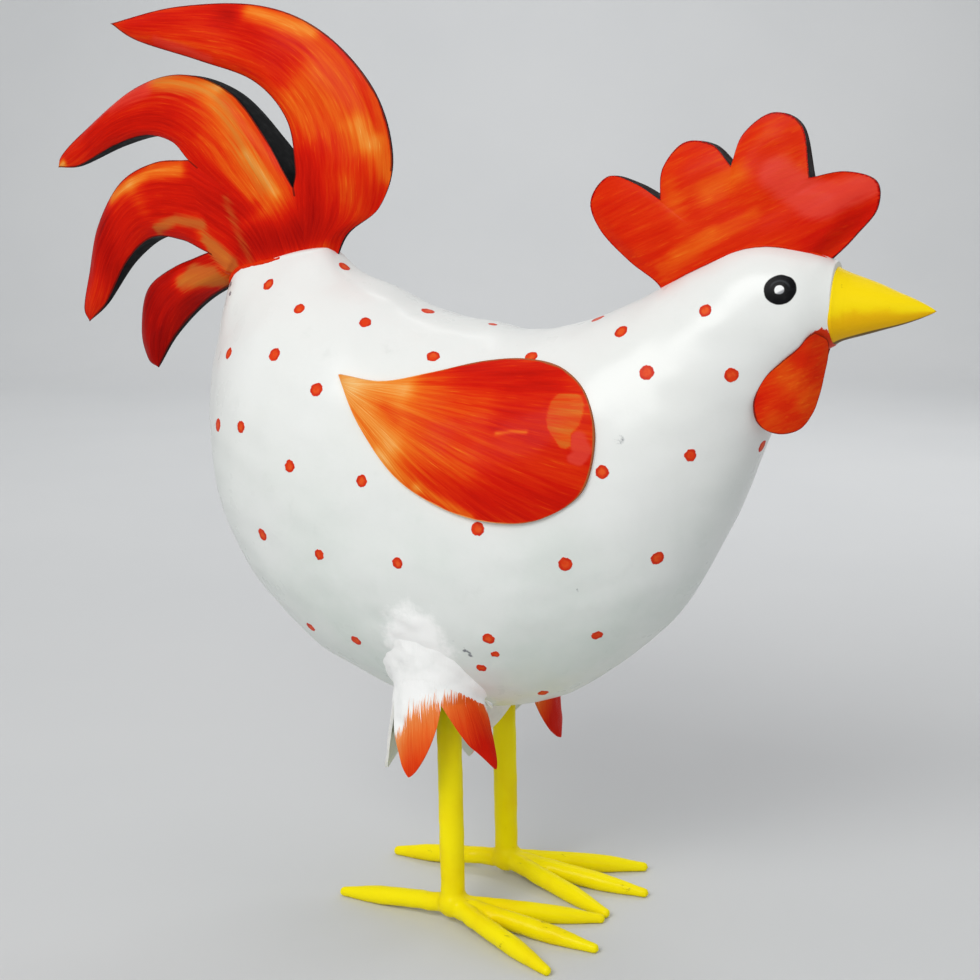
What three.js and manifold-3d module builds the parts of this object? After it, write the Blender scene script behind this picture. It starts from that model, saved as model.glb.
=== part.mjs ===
// A standing hen figurine of hammered, welded and painted sheet steel, in millimetres.
// +Z is up, the beak points to +X, and the hen's right side faces -Y.
// The origin is on the ground, under the middle of the hen's length.
import * as THREE from 'three';
import { mergeVertices } from 'three/addons/utils/BufferGeometryUtils.js';
import Module from 'manifold-3d';

const wasm = await Module();
wasm.setup();

// Driving dimensions
const HEN_HEIGHT = 404;
const BODY_WIDTH = 120;
const TAIL_THICKNESS = 24;
const COMB_THICKNESS = 18;
const EDGE_THICKNESS = 1.6;
const BEAK_LENGTH = 38;
const BEAK_HEIGHT = 29;
const BEAK_WIDTH = 24;
const WING_RELIEF = 6;
const WATTLE_HEIGHT = 41;
const WATTLE_WIDTH = 32;
const WATTLE_RELIEF = 4;
const WATTLE_OPENING = 33;
const LEFT_WATTLE_SET = 3;
const CUFF_WIDTH = 46;
const CUFF_FLARE = 6;
const CUFF_SHEET = 1.2;
const CUFF_COLLAR = 2;
const LEG_DIAMETER = 11;
const LEG_SPACING = 57.2;
const LEG_LEAN = 1.2;
const TOE_DIAMETER = 8;
const TOE_TIP_DIAMETER = 5;
const BACK_TOE_LENGTH = 60;
const MIDDLE_TOE_LENGTH = 71;
const SIDE_TOE_LENGTH = 68;
const INNER_TIP_GAP = 0.8;
const TOE_OUT = 2.2;
const TOE_RISE = 6;
const TOE_FLAT = 0.7;
const WELD_GAP = 0.3;

// Free forms are drawn in thousandths of the hen's height, as [x, z], from the ground between its legs.
const share = HEN_HEIGHT / 1000;
const drawn = ([x, z]) => new THREE.Vector3(x * share, 0, z * share);
const smooth = (points) => new THREE.CatmullRomCurve3(points, false, 'catmullrom', 0.5);
const radians = THREE.MathUtils.degToRad;

// Ribs of the body, from the tail root to the face: [back x, back z, belly x, belly z, width share]
const RIBS = [
  [-180, 740, -304, 698, 0.16],
  [-155, 713, -321, 648, 0.38],
  [-114, 693, -331, 574, 0.62],
  [-64, 672, -326, 485, 0.82],
  [-20, 661, -283, 374, 0.95],
  [20, 655, -188, 282, 1.0],
  [54, 651, -50, 235, 1.0],
  [94, 655, 87, 250, 0.95],
  [139, 668, 208, 334, 0.8],
  [188, 687, 280, 450, 0.62],
  [243, 714, 320, 554, 0.46],
  [297, 738, 342, 609, 0.38],
  [345, 741, 364, 636, 0.33],
  [384, 731, 384, 648, 0.25],
];
const BODY_MIDDLE = 450;
const TAIL_END_BULGE = 3;
const FACE_BULGE = 0.5;
const BODY_STEPS = 38;
const BODY_SIDES = 28;

const backLine = smooth(RIBS.map(([x, z]) => drawn([x, z])));
const bellyLine = smooth(RIBS.map(([, , x, z]) => drawn([x, z])));
const widthLine = smooth(RIBS.map(([, , , , w]) => new THREE.Vector3(w * BODY_WIDTH / 2, 0, 0)));

// A rib is an ellipse from belly to back, and u runs from 0 at the tail root to 1 at the face.
function rib(u) {
  const back = backLine.getPoint(u);
  const belly = bellyLine.getPoint(u);
  const centre = back.clone().add(belly).multiplyScalar(0.5);
  const reach = back.clone().sub(belly).multiplyScalar(0.5);
  return { centre, reach, halfWidth: widthLine.getPoint(u).x };
}

// The half width of the body at a place seen from the side: the rib through it is found by halving.
function flank(x, z) {
  let low = 0;
  let high = 1;
  for (let i = 0; i < 40; i += 1) {
    const middle = (low + high) / 2;
    const { centre, reach } = rib(middle);
    const side = reach.x * (z - centre.z) - reach.z * (x - centre.x);
    if (side > 0) {
      high = middle;
    } else {
      low = middle;
    }
  }
  const { centre, reach, halfWidth } = rib((low + high) / 2);
  const along = ((x - centre.x) * reach.x + (z - centre.z) * reach.z) / reach.lengthSq();
  return halfWidth * Math.sqrt(Math.max(0, 1 - along * along));
}

// The height of the body's underside at a distance from its middle plane, found by halving
function underside(x, y) {
  let low = 0;
  let high = drawn([0, BODY_MIDDLE]).z;
  for (let i = 0; i < 20; i += 1) {
    const middle = (low + high) / 2;
    if (flank(x, middle) < Math.abs(y)) {
      low = middle;
    } else {
      high = middle;
    }
  }
  return low;
}

// A closed geometry from rows of points that run around it, with a point at each end
function loft(rows, start, end) {
  const positions = [start, ...rows.flat(), end].flatMap((p) => [p.x, p.y, p.z]);
  const around = rows[0].length;
  const index = [];
  const at = (row, i) => 1 + row * around + (i % around);
  for (let i = 0; i < around; i += 1) {
    index.push(0, at(0, i + 1), at(0, i));
    index.push(positions.length / 3 - 1, at(rows.length - 1, i), at(rows.length - 1, i + 1));
  }
  for (let row = 0; row < rows.length - 1; row += 1) {
    for (let i = 0; i < around; i += 1) {
      index.push(at(row, i), at(row, i + 1), at(row + 1, i));
      index.push(at(row, i + 1), at(row + 1, i + 1), at(row + 1, i));
    }
  }
  const geometry = new THREE.BufferGeometry();
  geometry.setAttribute('position', new THREE.Float32BufferAttribute(positions, 3));
  geometry.setIndex(index);
  return geometry;
}

function solid(geometry) {
  const bare = geometry.clone();
  bare.deleteAttribute('normal');
  bare.deleteAttribute('uv');
  const merged = mergeVertices(bare, 1e-4);
  return new wasm.Manifold(new wasm.Mesh({
    numProp: 3,
    vertProperties: new Float32Array(merged.attributes.position.array),
    triVerts: new Uint32Array(merged.index.array),
  }));
}

function geometryOf(manifold) {
  const mesh = manifold.getMesh();
  const geometry = new THREE.BufferGeometry();
  geometry.setAttribute('position', new THREE.BufferAttribute(new Float32Array(mesh.vertProperties), 3));
  geometry.setIndex(new THREE.BufferAttribute(new Uint32Array(mesh.triVerts), 1));
  return geometry;
}

// The point of a rounded end, a bulge beyond the middle of the last rib
function endPoint(end, before, bulge) {
  const middle = rib(end).centre;
  const outwards = middle.clone().sub(rib(before).centre).normalize();
  return middle.addScaledVector(outwards, bulge);
}

// The body shell, grown outwards by a clearance where its neighbours are cut to it
function bodyGeometry(grow = 0) {
  const rows = [];
  for (let i = 0; i <= BODY_STEPS; i += 1) {
    const { centre, reach, halfWidth } = rib(i / BODY_STEPS);
    const length = reach.length() + grow;
    const along = reach.clone().normalize();
    const row = [];
    for (let j = 0; j < BODY_SIDES; j += 1) {
      const turn = (j / BODY_SIDES) * Math.PI * 2;
      const point = centre.clone().addScaledVector(along, length * Math.cos(turn));
      point.y = -(halfWidth + grow) * Math.sin(turn);
      row.push(point);
    }
    rows.push(row);
  }
  return loft(rows, endPoint(0, 0.01, TAIL_END_BULGE + grow), endPoint(1, 0.99, FACE_BULGE + grow));
}

const bodyClearance = solid(bodyGeometry(WELD_GAP));
const clearOfBody = (geometry) => geometryOf(solid(geometry).subtract(bodyClearance));

// An outline of smooth stretches that meet at corners, as a plate across the hen's middle plane
function plate(stretches, depth) {
  const outline = stretches.flatMap(({ points, steps }) => smooth(points.map(drawn)).getPoints(steps).slice(0, -1));
  const shape = new THREE.Shape(outline.map((p) => new THREE.Vector2(p.x, p.z)));
  const geometry = new THREE.ExtrudeGeometry(shape, { depth, bevelEnabled: false, steps: 1 });
  geometry.translate(0, 0, -depth / 2);
  geometry.rotateX(Math.PI / 2);
  return geometry;
}

// Two domed sheets that meet at an outer edge: the thickness falls off as the square of the way out.
function domedSheets(edge, middle, thickness, rings, steps) {
  const outer = new THREE.CatmullRomCurve3(edge.map(drawn), true, 'catmullrom', 0.5);
  const centre = drawn(middle);
  const side = (sign, ring) => {
    const out = ring / rings;
    const half = EDGE_THICKNESS / 2 + (thickness - EDGE_THICKNESS) / 2 * (1 - out * out);
    return Array.from({ length: steps }, (_, i) => {
      const point = centre.clone().lerp(outer.getPoint(i / steps), out);
      point.y = sign * half;
      return point;
    });
  };
  const rows = [];
  for (let ring = 1; ring <= rings; ring += 1) {
    rows.push(side(-1, ring));
  }
  for (let ring = rings; ring >= 1; ring -= 1) {
    rows.push(side(1, ring));
  }
  const near = centre.clone().setY(-thickness / 2);
  const far = centre.clone().setY(thickness / 2);
  return loft(rows, near, far);
}

const TAIL_STRETCHES = [
  { steps: 20, points: [[-185, 690], [-165, 744], [-122, 777], [-105, 830], [-127, 901], [-190, 964], [-270, 995],
    [-378, 998], [-473, 983]] },
  { steps: 13, points: [[-473, 983], [-433, 962], [-345, 937], [-272, 913], [-228, 872], [-213, 820], [-215, 797]] },
  { steps: 14, points: [[-215, 797], [-253, 851], [-304, 902], [-371, 923], [-441, 908], [-520, 859], [-552, 834],
    [-558, 820]] },
  { steps: 9, points: [[-558, 820], [-525, 822], [-466, 845], [-417, 856], [-378, 848], [-353, 828]] },
  { steps: 12, points: [[-353, 828], [-408, 825], [-461, 802], [-499, 752], [-517, 695], [-528, 655], [-522, 638]] },
  { steps: 9, points: [[-522, 638], [-494, 661], [-455, 712], [-414, 740], [-369, 738], [-329, 725]] },
  { steps: 10, points: [[-329, 725], [-385, 707], [-428, 679], [-442, 630], [-436, 597], [-423, 587]] },
  { steps: 10, points: [[-423, 587], [-395, 627], [-351, 667], [-302, 694], [-270, 680], [-230, 670], [-185, 690]] },
];
const TAIL_EDGE = [[-245, 660], [-330, 655], [-423, 577], [-535, 634], [-566, 822], [-480, 990], [-300, 1006],
  [-190, 972], [-119, 907], [-98, 822], [-172, 720]];
const TAIL_MIDDLE = [-267, 755];

function tailGeometry() {
  const sheets = solid(domedSheets(TAIL_EDGE, TAIL_MIDDLE, TAIL_THICKNESS, 5, 34));
  const cut = solid(plate(TAIL_STRETCHES, TAIL_THICKNESS * 2));
  return geometryOf(sheets.intersect(cut).subtract(bodyClearance));
}

const COMB_STRETCHES = [
  { steps: 15, points: [[215, 680], [204, 703], [172, 725], [139, 755], [127, 785], [146, 810], [177, 803],
    [206, 787]] },
  { steps: 10, points: [[206, 787], [206, 818], [226, 843], [256, 841], [278, 820]] },
  { steps: 11, points: [[278, 820], [288, 851], [316, 871], [345, 858], [356, 809]] },
  { steps: 14, points: [[356, 809], [388, 815], [418, 806], [420, 780], [402, 756], [382, 735], [340, 700],
    [270, 690], [215, 680]] },
];
const COMB_EDGE = [[205, 670], [119, 772], [144, 822], [235, 856], [317, 883], [371, 854], [433, 802], [400, 735],
  [340, 670]];
const COMB_MIDDLE = [277, 735];

function combGeometry() {
  const sheets = solid(domedSheets(COMB_EDGE, COMB_MIDDLE, COMB_THICKNESS, 4, 26));
  const cut = solid(plate(COMB_STRETCHES, COMB_THICKNESS * 2));
  return geometryOf(sheets.intersect(cut).subtract(bodyClearance));
}

// A wing is a domed sheet seated on the flank, with its point towards the tail.
const WING_OUTLINE = [[-108, 607], [-60, 602], [-10, 612], [40, 624], [90, 628], [133, 620], [163, 597],
  [177, 555], [168, 505], [130, 477], [85, 471], [30, 481], [-25, 508], [-72, 556], [-108, 607]];
const WING_MIDDLE = [60, 555];
const WING_RINGS = 4;
const WING_STEPS = 28;

function wingGeometry() {
  const edge = smooth(WING_OUTLINE.map(drawn));
  const centre = drawn(WING_MIDDLE);
  const place = (ring, i, lift) => {
    const out = ring / WING_RINGS;
    const point = centre.clone().lerp(edge.getPoint(i / WING_STEPS), out);
    point.y = -flank(point.x, point.z) - WELD_GAP - lift(out);
    return point;
  };
  const outside = (out) => EDGE_THICKNESS + (WING_RELIEF - EDGE_THICKNESS) * (1 - out * out);
  const inside = () => 0;
  const ringOf = (ring, lift) => Array.from({ length: WING_STEPS }, (_, i) => place(ring, i, lift));
  const rows = [];
  for (let ring = 1; ring <= WING_RINGS; ring += 1) {
    rows.push(ringOf(ring, outside));
  }
  for (let ring = WING_RINGS; ring >= 1; ring -= 1) {
    rows.push(ringOf(ring, inside));
  }
  return loft(rows, place(0, 0, outside), place(0, 0, inside));
}

// The beak is a cone with a rounded flare at its base and a slightly hooked point.
const BEAK_BASE = [386, 686];
const BEAK_DROP = 0.02;
const BEAK_ROOT = 4;
const BEAK_FULLNESS = 0.82;
const BEAK_SIDES = 18;
const BEAK_STEPS = 6;

function beakForm(grow) {
  const base = drawn(BEAK_BASE);
  const rows = [];
  for (let i = 0; i < BEAK_STEPS; i += 1) {
    const t = i / BEAK_STEPS;
    const taper = Math.pow(1 - t, BEAK_FULLNESS);
    const centre = base.clone().add(new THREE.Vector3(BEAK_LENGTH * t, 0, -BEAK_DROP * BEAK_LENGTH * t * t));
    const row = [];
    for (let j = 0; j < BEAK_SIDES; j += 1) {
      const turn = (j / BEAK_SIDES) * Math.PI * 2;
      const y = -Math.sin(turn) * (BEAK_WIDTH / 2 * taper + grow);
      const z = Math.cos(turn) * (BEAK_HEIGHT / 2 * taper + grow);
      row.push(centre.clone().add(new THREE.Vector3(0, y, z)));
    }
    rows.push(row);
  }
  const tip = base.clone().add(new THREE.Vector3(BEAK_LENGTH, 0, -BEAK_DROP * BEAK_LENGTH));
  const inner = base.clone().add(new THREE.Vector3(-BEAK_ROOT, 0, 0));
  return loft(rows, inner, tip);
}

const beakGeometry = () => clearOfBody(beakForm(0));

// A thigh cuff is a flared tube around the leg, open below and cut into pointed petals.
const PETALS = {
  right: [{ turn: -103, length: 32 }, { turn: -18, length: 28 }, { turn: 79, length: 36 }, { turn: 187, length: 38 }],
  left: [{ turn: -103, length: 33 }, { turn: -18, length: 38 }, { turn: 79, length: 34 }, { turn: 187, length: 31 }],
};
const CUFF_TOP = 372;
const CUFF_NOTCH = 262;
const CUFF_NECK = 0.88;
const PETAL_FULLNESS = 0.62;
const CUFF_COLUMNS = 36;
const CUFF_ROWS = 4;

// How far the edge hangs below the notches at an angle: each petal reaches halfway to its neighbours.
function petalDrop(petals, turn) {
  const away = ({ turn: middle }) => THREE.MathUtils.euclideanModulo(turn - middle + 180, 360) - 180;
  const order = petals.slice().sort((a, b) => Math.abs(away(a)) - Math.abs(away(b)));
  const own = Math.abs(away(order[0]));
  const other = Math.abs(away(order[1]));
  const toEdge = own / ((own + other) / 2);
  return order[0].length * Math.pow(Math.max(0, 1 - toEdge), PETAL_FULLNESS);
}

function cuffGeometry(petals) {
  const top = drawn([0, CUFF_TOP]).z;
  const notch = drawn([0, CUFF_NOTCH]).z;
  const longest = Math.max(...petals.map(({ length }) => length));
  const turnOf = (column) => (column / CUFF_COLUMNS) * 360 + petals[0].turn;
  // The edge follows the petals, and it stays a collar's width clear below the body.
  const edges = Array.from({ length: CUFF_COLUMNS }, (_, column) => {
    const turn = radians(turnOf(column));
    const under = underside(CUFF_WIDTH / 2 * Math.cos(turn), legPlace.y + CUFF_WIDTH / 2 * Math.sin(turn));
    return Math.min(notch - petalDrop(petals, turnOf(column)), under - CUFF_COLLAR);
  });
  const point = (column, row, inset) => {
    const turn = turnOf(column);
    const z = THREE.MathUtils.lerp(top, edges[column], row / CUFF_ROWS);
    const below = Math.max(0, notch - z) / longest;
    const shoulder = Math.min(1, (top - z) / (top - notch));
    const radius = CUFF_WIDTH / 2 * THREE.MathUtils.lerp(CUFF_NECK, 1, shoulder) + CUFF_FLARE * below - inset;
    return new THREE.Vector3(radius * Math.cos(radians(turn)), radius * Math.sin(radians(turn)), z);
  };
  const ringOf = (row, inset) => Array.from({ length: CUFF_COLUMNS }, (_, i) => point(i, row, inset));
  const rings = [];
  for (let row = 0; row <= CUFF_ROWS; row += 1) {
    rings.push(ringOf(row, 0));
  }
  for (let row = CUFF_ROWS; row >= 0; row -= 1) {
    rings.push(ringOf(row, CUFF_SHEET));
  }
  return tube(rings).rotateY(-radians(LEG_LEAN));
}

// A closed geometry from rings that follow each other round and back to the first
function tube(rings) {
  const around = rings[0].length;
  const positions = rings.flat().flatMap((p) => [p.x, p.y, p.z]);
  const at = (ring, i) => (ring % rings.length) * around + (i % around);
  const index = [];
  for (let ring = 0; ring < rings.length; ring += 1) {
    for (let i = 0; i < around; i += 1) {
      index.push(at(ring, i), at(ring + 1, i), at(ring, i + 1));
      index.push(at(ring, i + 1), at(ring + 1, i), at(ring + 1, i + 1));
    }
  }
  const geometry = new THREE.BufferGeometry();
  geometry.setAttribute('position', new THREE.Float32BufferAttribute(positions, 3));
  geometry.setIndex(index);
  return geometry;
}

// A wattle is a domed teardrop that hangs from the cheek and slants back along the throat.
// Its outline is in shares of its own width, back from the front edge, and of its height, down from the top.
const WATTLE_OUTLINE = [[0.1, 0], [-0.03, 0.12], [0.03, 0.35], [0.15, 0.62], [0.3, 0.88], [0.5, 1], [0.72, 0.98],
  [0.9, 0.8], [0.97, 0.6], [0.88, 0.38], [0.66, 0.2], [0.38, 0.08], [0.1, 0]];
const WATTLE_ANCHOR = [381, 663];
const WATTLE_SPREAD = 11;
const WATTLE_GAP = 2.3;
const WATTLE_MEET = 0.6;
const WATTLE_MIDDLE = [0.5, 0.6];
const WATTLE_RINGS = 3;
const WATTLE_STEPS = 20;

function wattleGeometry(setBack) {
  const anchor = drawn(WATTLE_ANCHOR);
  const edge = smooth(WATTLE_OUTLINE.map(([s, drop]) => new THREE.Vector3(s, drop, 0)));
  const middle = new THREE.Vector3(...WATTLE_MIDDLE, 0);
  const slant = radians(WATTLE_OPENING);
  const place = (ring, i, lift) => {
    const out = ring / WATTLE_RINGS;
    const flat = middle.clone().lerp(edge.getPoint(i / WATTLE_STEPS), out);
    const back = flat.x * WATTLE_WIDTH;
    const off = lift(out);
    const lean = WATTLE_SPREAD * Math.pow(Math.max(0, 1 - flat.y / WATTLE_MEET), 2) + WATTLE_GAP / 2;
    const x = anchor.x - setBack - back * Math.cos(slant) + off * Math.sin(slant);
    const y = -lean - back * Math.sin(slant) - off * Math.cos(slant);
    return new THREE.Vector3(x, y, anchor.z - flat.y * WATTLE_HEIGHT);
  };
  const outside = (out) => EDGE_THICKNESS + (WATTLE_RELIEF - EDGE_THICKNESS) * (1 - out * out);
  const inside = () => 0;
  const ringOf = (ring, lift) => Array.from({ length: WATTLE_STEPS }, (_, i) => place(ring, i, lift));
  const rows = [];
  for (let ring = 1; ring <= WATTLE_RINGS; ring += 1) {
    rows.push(ringOf(ring, outside));
  }
  for (let ring = WATTLE_RINGS; ring >= 1; ring -= 1) {
    rows.push(ringOf(ring, inside));
  }
  const sheet = solid(loft(rows, place(0, 0, outside), place(0, 0, inside)));
  return geometryOf(sheet.subtract(bodyClearance).subtract(solid(beakForm(WELD_GAP))));
}

// The leg is a rod from the middle of its foot up to the underside of the body.
const LEG_SIDES = 16;
const LEG_FOOT = 3;

function legForm(grow) {
  const top = drawn([0, CUFF_TOP]).z;
  const radius = LEG_DIAMETER / 2 + grow;
  const geometry = new THREE.CylinderGeometry(radius, radius, top - LEG_FOOT, LEG_SIDES);
  geometry.rotateX(Math.PI / 2);
  geometry.translate(0, 0, (top + LEG_FOOT) / 2);
  geometry.rotateY(-radians(LEG_LEAN));
  return geometry;
}

// A toe is a tapered rod that slopes down from the leg to a small flat under its blunt tip.
// The inner toes spread until the tips of both feet are a small gap apart, and the outer ones as far.
const TOE_SIDES = 10;
const tipRadius = TOE_TIP_DIAMETER / 2;
const tipRun = SIDE_TOE_LENGTH - tipRadius;
const innerReach = Math.asin((LEG_SPACING - INNER_TIP_GAP) / 2 / Math.hypot(tipRun, tipRadius));
const toeSpread = THREE.MathUtils.radToDeg(innerReach - Math.atan2(tipRadius, tipRun)) + TOE_OUT;
const TOES = [
  { name: 'middle', turn: 0, length: MIDDLE_TOE_LENGTH },
  { name: 'inner', turn: toeSpread, length: SIDE_TOE_LENGTH },
  { name: 'outer', turn: -toeSpread, length: SIDE_TOE_LENGTH },
  { name: 'back', turn: 180, length: BACK_TOE_LENGTH },
];

function toeForm({ turn, length }, grow) {
  const root = TOE_DIAMETER / 2 + grow;
  const tip = tipRadius + grow;
  const tipHeight = tipRadius - TOE_FLAT;
  const slope = Math.atan2(TOE_RISE, length);
  const run = Math.hypot(TOE_RISE, length);
  const profile = [[0, 0], [root, 0], [root, run * 0.55], [(root + tip) / 2, run * 0.8], [tip, run - tip],
    [tip * 0.7, run - tip * 0.3], [0, run]];
  const geometry = new THREE.LatheGeometry(profile.map(([r, s]) => new THREE.Vector2(r, s)), TOE_SIDES);
  geometry.rotateZ(-Math.PI / 2);
  geometry.rotateY(slope);
  geometry.translate(0, 0, tipHeight + TOE_RISE);
  geometry.rotateZ(radians(turn - TOE_OUT));
  return geometry;
}

// The toes are cut where they meet the leg, each other and the ground.
function toeGeometry(index) {
  let toe = solid(toeForm(TOES[index], 0)).subtract(solid(legForm(WELD_GAP)));
  for (const earlier of TOES.slice(0, index)) {
    toe = toe.subtract(solid(toeForm(earlier, WELD_GAP)));
  }
  const under = new THREE.BoxGeometry(400, 400, 40).translate(0, 0, -20);
  return geometryOf(toe.subtract(solid(under)));
}

// What stands on a leg is worked out around the leg, and cut to the body where the leg stands.
const legPlace = new THREE.Vector3(0, -LEG_SPACING / 2, 0);

function clearOfBodyAtLeg(geometry) {
  const placed = geometry.clone().translate(legPlace.x, legPlace.y, legPlace.z);
  return clearOfBody(placed).translate(-legPlace.x, -legPlace.y, -legPlace.z);
}

// The hen's left side is the mirror of its right side.
function mirrored(geometry) {
  const other = geometry.clone().scale(1, -1, 1);
  const index = other.index.array;
  for (let i = 0; i < index.length; i += 3) {
    [index[i], index[i + 1]] = [index[i + 1], index[i]];
  }
  return other;
}

const paint = (color, roughness) => new THREE.MeshStandardMaterial({ color, roughness, metalness: 0 });
const whiteEnamel = paint(0xe9ecea, 0.25);
const tailEnamel = paint(0xd8320f, 0.35);
const combEnamel = paint(0xe0431c, 0.35);
const wingEnamel = paint(0xdd3a12, 0.35);
const cuffEnamel = paint(0xe8e4df, 0.35);
const beakEnamel = paint(0xf2c40f, 0.3);
const legEnamel = paint(0xf0dc10, 0.3);

function piece(name, geometry, material) {
  const mesh = new THREE.Mesh(geometry, material);
  mesh.name = name;
  return mesh;
}

function legGroup(side, flip) {
  const legs = new THREE.Group();
  legs.position.set(legPlace.x, side === 'right' ? legPlace.y : -legPlace.y, legPlace.z);
  legs.add(piece(`thigh_${side}`, flip(clearOfBodyAtLeg(cuffGeometry(PETALS[side]))), cuffEnamel));
  legs.add(piece(`leg_${side}`, flip(clearOfBodyAtLeg(legForm(0))), legEnamel));
  TOES.forEach(({ name }, index) => {
    legs.add(piece(`toe_${side}_${name}`, flip(toeGeometry(index)), legEnamel));
  });
  return legs;
}

function hen() {
  const figure = new THREE.Group();
  figure.add(piece('body', bodyGeometry(), whiteEnamel));
  figure.add(piece('tail', tailGeometry(), tailEnamel));
  figure.add(piece('comb', combGeometry(), combEnamel));
  figure.add(piece('beak', beakGeometry(), beakEnamel));
  for (const side of ['right', 'left']) {
    const flip = side === 'right' ? (geometry) => geometry : mirrored;
    figure.add(piece(`wing_${side}`, flip(wingGeometry()), wingEnamel));
    figure.add(piece(`wattle_${side}`, flip(wattleGeometry(side === 'right' ? 0 : LEFT_WATTLE_SET)), combEnamel));
    figure.add(legGroup(side, flip));
  }
  const box = new THREE.Box3().setFromObject(figure, true);
  figure.position.x = -(box.min.x + box.max.x) / 2;
  return figure;
}

const group = new THREE.Group();
group.add(hen());
export default group;
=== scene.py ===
"""The looks of a standing hen figurine of hammered, welded and painted sheet steel.

Lengths are in metres, +Z is up, the beak points to +X and the hen's right side faces -Y.
Free forms are drawn in thousandths of the hen's height, as [x, z], from the ground between its legs.
"""

import math

import bmesh
import bpy
import numpy as np
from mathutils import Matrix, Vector


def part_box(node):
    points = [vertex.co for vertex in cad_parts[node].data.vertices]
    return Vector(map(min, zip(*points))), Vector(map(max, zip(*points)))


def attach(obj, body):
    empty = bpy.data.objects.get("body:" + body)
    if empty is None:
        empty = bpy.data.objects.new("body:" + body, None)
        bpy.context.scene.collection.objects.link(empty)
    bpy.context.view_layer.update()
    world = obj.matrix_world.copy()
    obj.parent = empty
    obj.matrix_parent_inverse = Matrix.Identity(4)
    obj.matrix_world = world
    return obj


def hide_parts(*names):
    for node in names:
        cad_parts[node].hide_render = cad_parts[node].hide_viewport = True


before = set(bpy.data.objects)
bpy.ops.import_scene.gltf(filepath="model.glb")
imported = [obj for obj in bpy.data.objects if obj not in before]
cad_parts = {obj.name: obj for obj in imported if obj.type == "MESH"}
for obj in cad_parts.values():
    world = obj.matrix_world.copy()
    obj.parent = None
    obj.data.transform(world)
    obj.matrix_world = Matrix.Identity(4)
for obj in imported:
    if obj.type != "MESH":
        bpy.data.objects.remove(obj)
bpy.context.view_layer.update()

MM = 0.001
HEN_HEIGHT = 404 * MM
SHARE = HEN_HEIGHT / 1000
# The distance that a field holds where a thin rim or a dot is far away
FAR_OFF = 9 * MM
BODY_WIDTH = 120 * MM
TAIL_THICKNESS = 24 * MM
COMB_THICKNESS = 18 * MM
EDGE_THICKNESS = 1.6 * MM
WING_RELIEF = 6 * MM
BEAK_LENGTH = 38 * MM
BEAK_HEIGHT = 29 * MM
BEAK_WIDTH = 24 * MM
BEAK_BASE = (386, 686)
WATTLE_HEIGHT = 41 * MM
WATTLE_WIDTH = 32 * MM
WATTLE_RELIEF = 4 * MM
CUFF_WIDTH = 46 * MM
CUFF_SHEET = 1.2 * MM
LEG_DIAMETER = 11 * MM
LEG_LEAN = math.radians(1.2)
TOE_DIAMETER = 8 * MM
TOE_TIP_DIAMETER = 5 * MM
TOE_RISE = 6 * MM
TOE_FLAT = 0.7 * MM
TOE_OUT = math.radians(2.2)

# The figure's place along X and the legs' place across it come from the frame.
MIDDLE_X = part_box("beak")[1].x - BEAK_BASE[0] * SHARE - BEAK_LENGTH
LEG_Y = (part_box("leg_right")[0].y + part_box("leg_right")[1].y) / 2
RIGHT = 1
LEFT = -1


# Curves and fields

def drawn(points):
    """Drawn points in metres: a share of the height each, counted along X from the legs' place."""
    return np.asarray(points, float) * SHARE + [MIDDLE_X, 0]


def catmull(points, t, closed=False):
    """Points of a Catmull-Rom curve: between two of its points it is the cubic that leaves each of
    them parallel to the line between that point's neighbours. An open curve's ends are mirrored."""
    points = np.asarray(points, float)
    t = np.atleast_1d(t)
    spans = len(points) if closed else len(points) - 1
    whole = np.clip(np.floor(t * spans).astype(int), 0, spans - 1)
    w = (t * spans - whole)[:, None]
    if closed:
        near = [points[(whole + k) % len(points)] for k in (-1, 0, 1, 2)]
    else:
        long = np.vstack([2 * points[0] - points[1], points, 2 * points[-1] - points[-2]])
        near = [long[whole + k] for k in range(4)]
    before, start, end, after = near
    leave = (end - before) / 2
    arrive = (after - start) / 2
    cubic = 2 * start - 2 * end + leave + arrive
    square = -3 * start + 3 * end - 2 * leave - arrive
    return ((cubic * w + square) * w + leave) * w + start


def evenly(points, count, closed=False):
    """Points at equal distances along the Catmull-Rom curve: its length is added up from short chords."""
    fine = catmull(points, np.linspace(0, 1, 1200), closed)
    along = np.concatenate([[0], np.cumsum(np.linalg.norm(np.diff(fine, axis=0), axis=1))])
    wanted = np.linspace(0, along[-1], count)
    return np.stack([np.interp(wanted, along, fine[:, k]) for k in range(fine.shape[1])], -1)


def unevenness(points, wavelength, seed, waves=22):
    """A smooth random field of about -1 to 1: a sum of sine waves in random directions, whose
    lengths lie around one wavelength."""
    rng = np.random.default_rng(seed)
    way = rng.normal(size=(waves, 3))
    way *= (2 * math.pi / (wavelength * rng.uniform(0.7, 1.5, waves)) / np.linalg.norm(way, axis=1))[:, None]
    return np.sin(points @ way.T + rng.uniform(0, 2 * math.pi, waves)).sum(-1) / math.sqrt(waves)


def smooth_step(x, low, high):
    """0 below low, 1 above high, and 3t^2 - 2t^3 in between."""
    t = np.clip((x - low) / (high - low), 0, 1)
    return t * t * (3 - 2 * t)


def halved(true, low, high, rounds=26):
    """The border between low, where something isn't true, and high, where it is, by halving."""
    for _ in range(rounds):
        middle = (low + high) / 2
        is_true = true(middle)
        low, high = np.where(is_true, low, middle), np.where(is_true, middle, high)
    return (low + high) / 2


def grid_normals(points):
    """Unit normals of a grid of points: the cross product of its two directions' differences."""
    normal = np.cross(np.gradient(points, axis=0), np.gradient(points, axis=1))
    return normal / np.maximum(np.linalg.norm(normal, axis=-1, keepdims=True), 1e-12)


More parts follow.
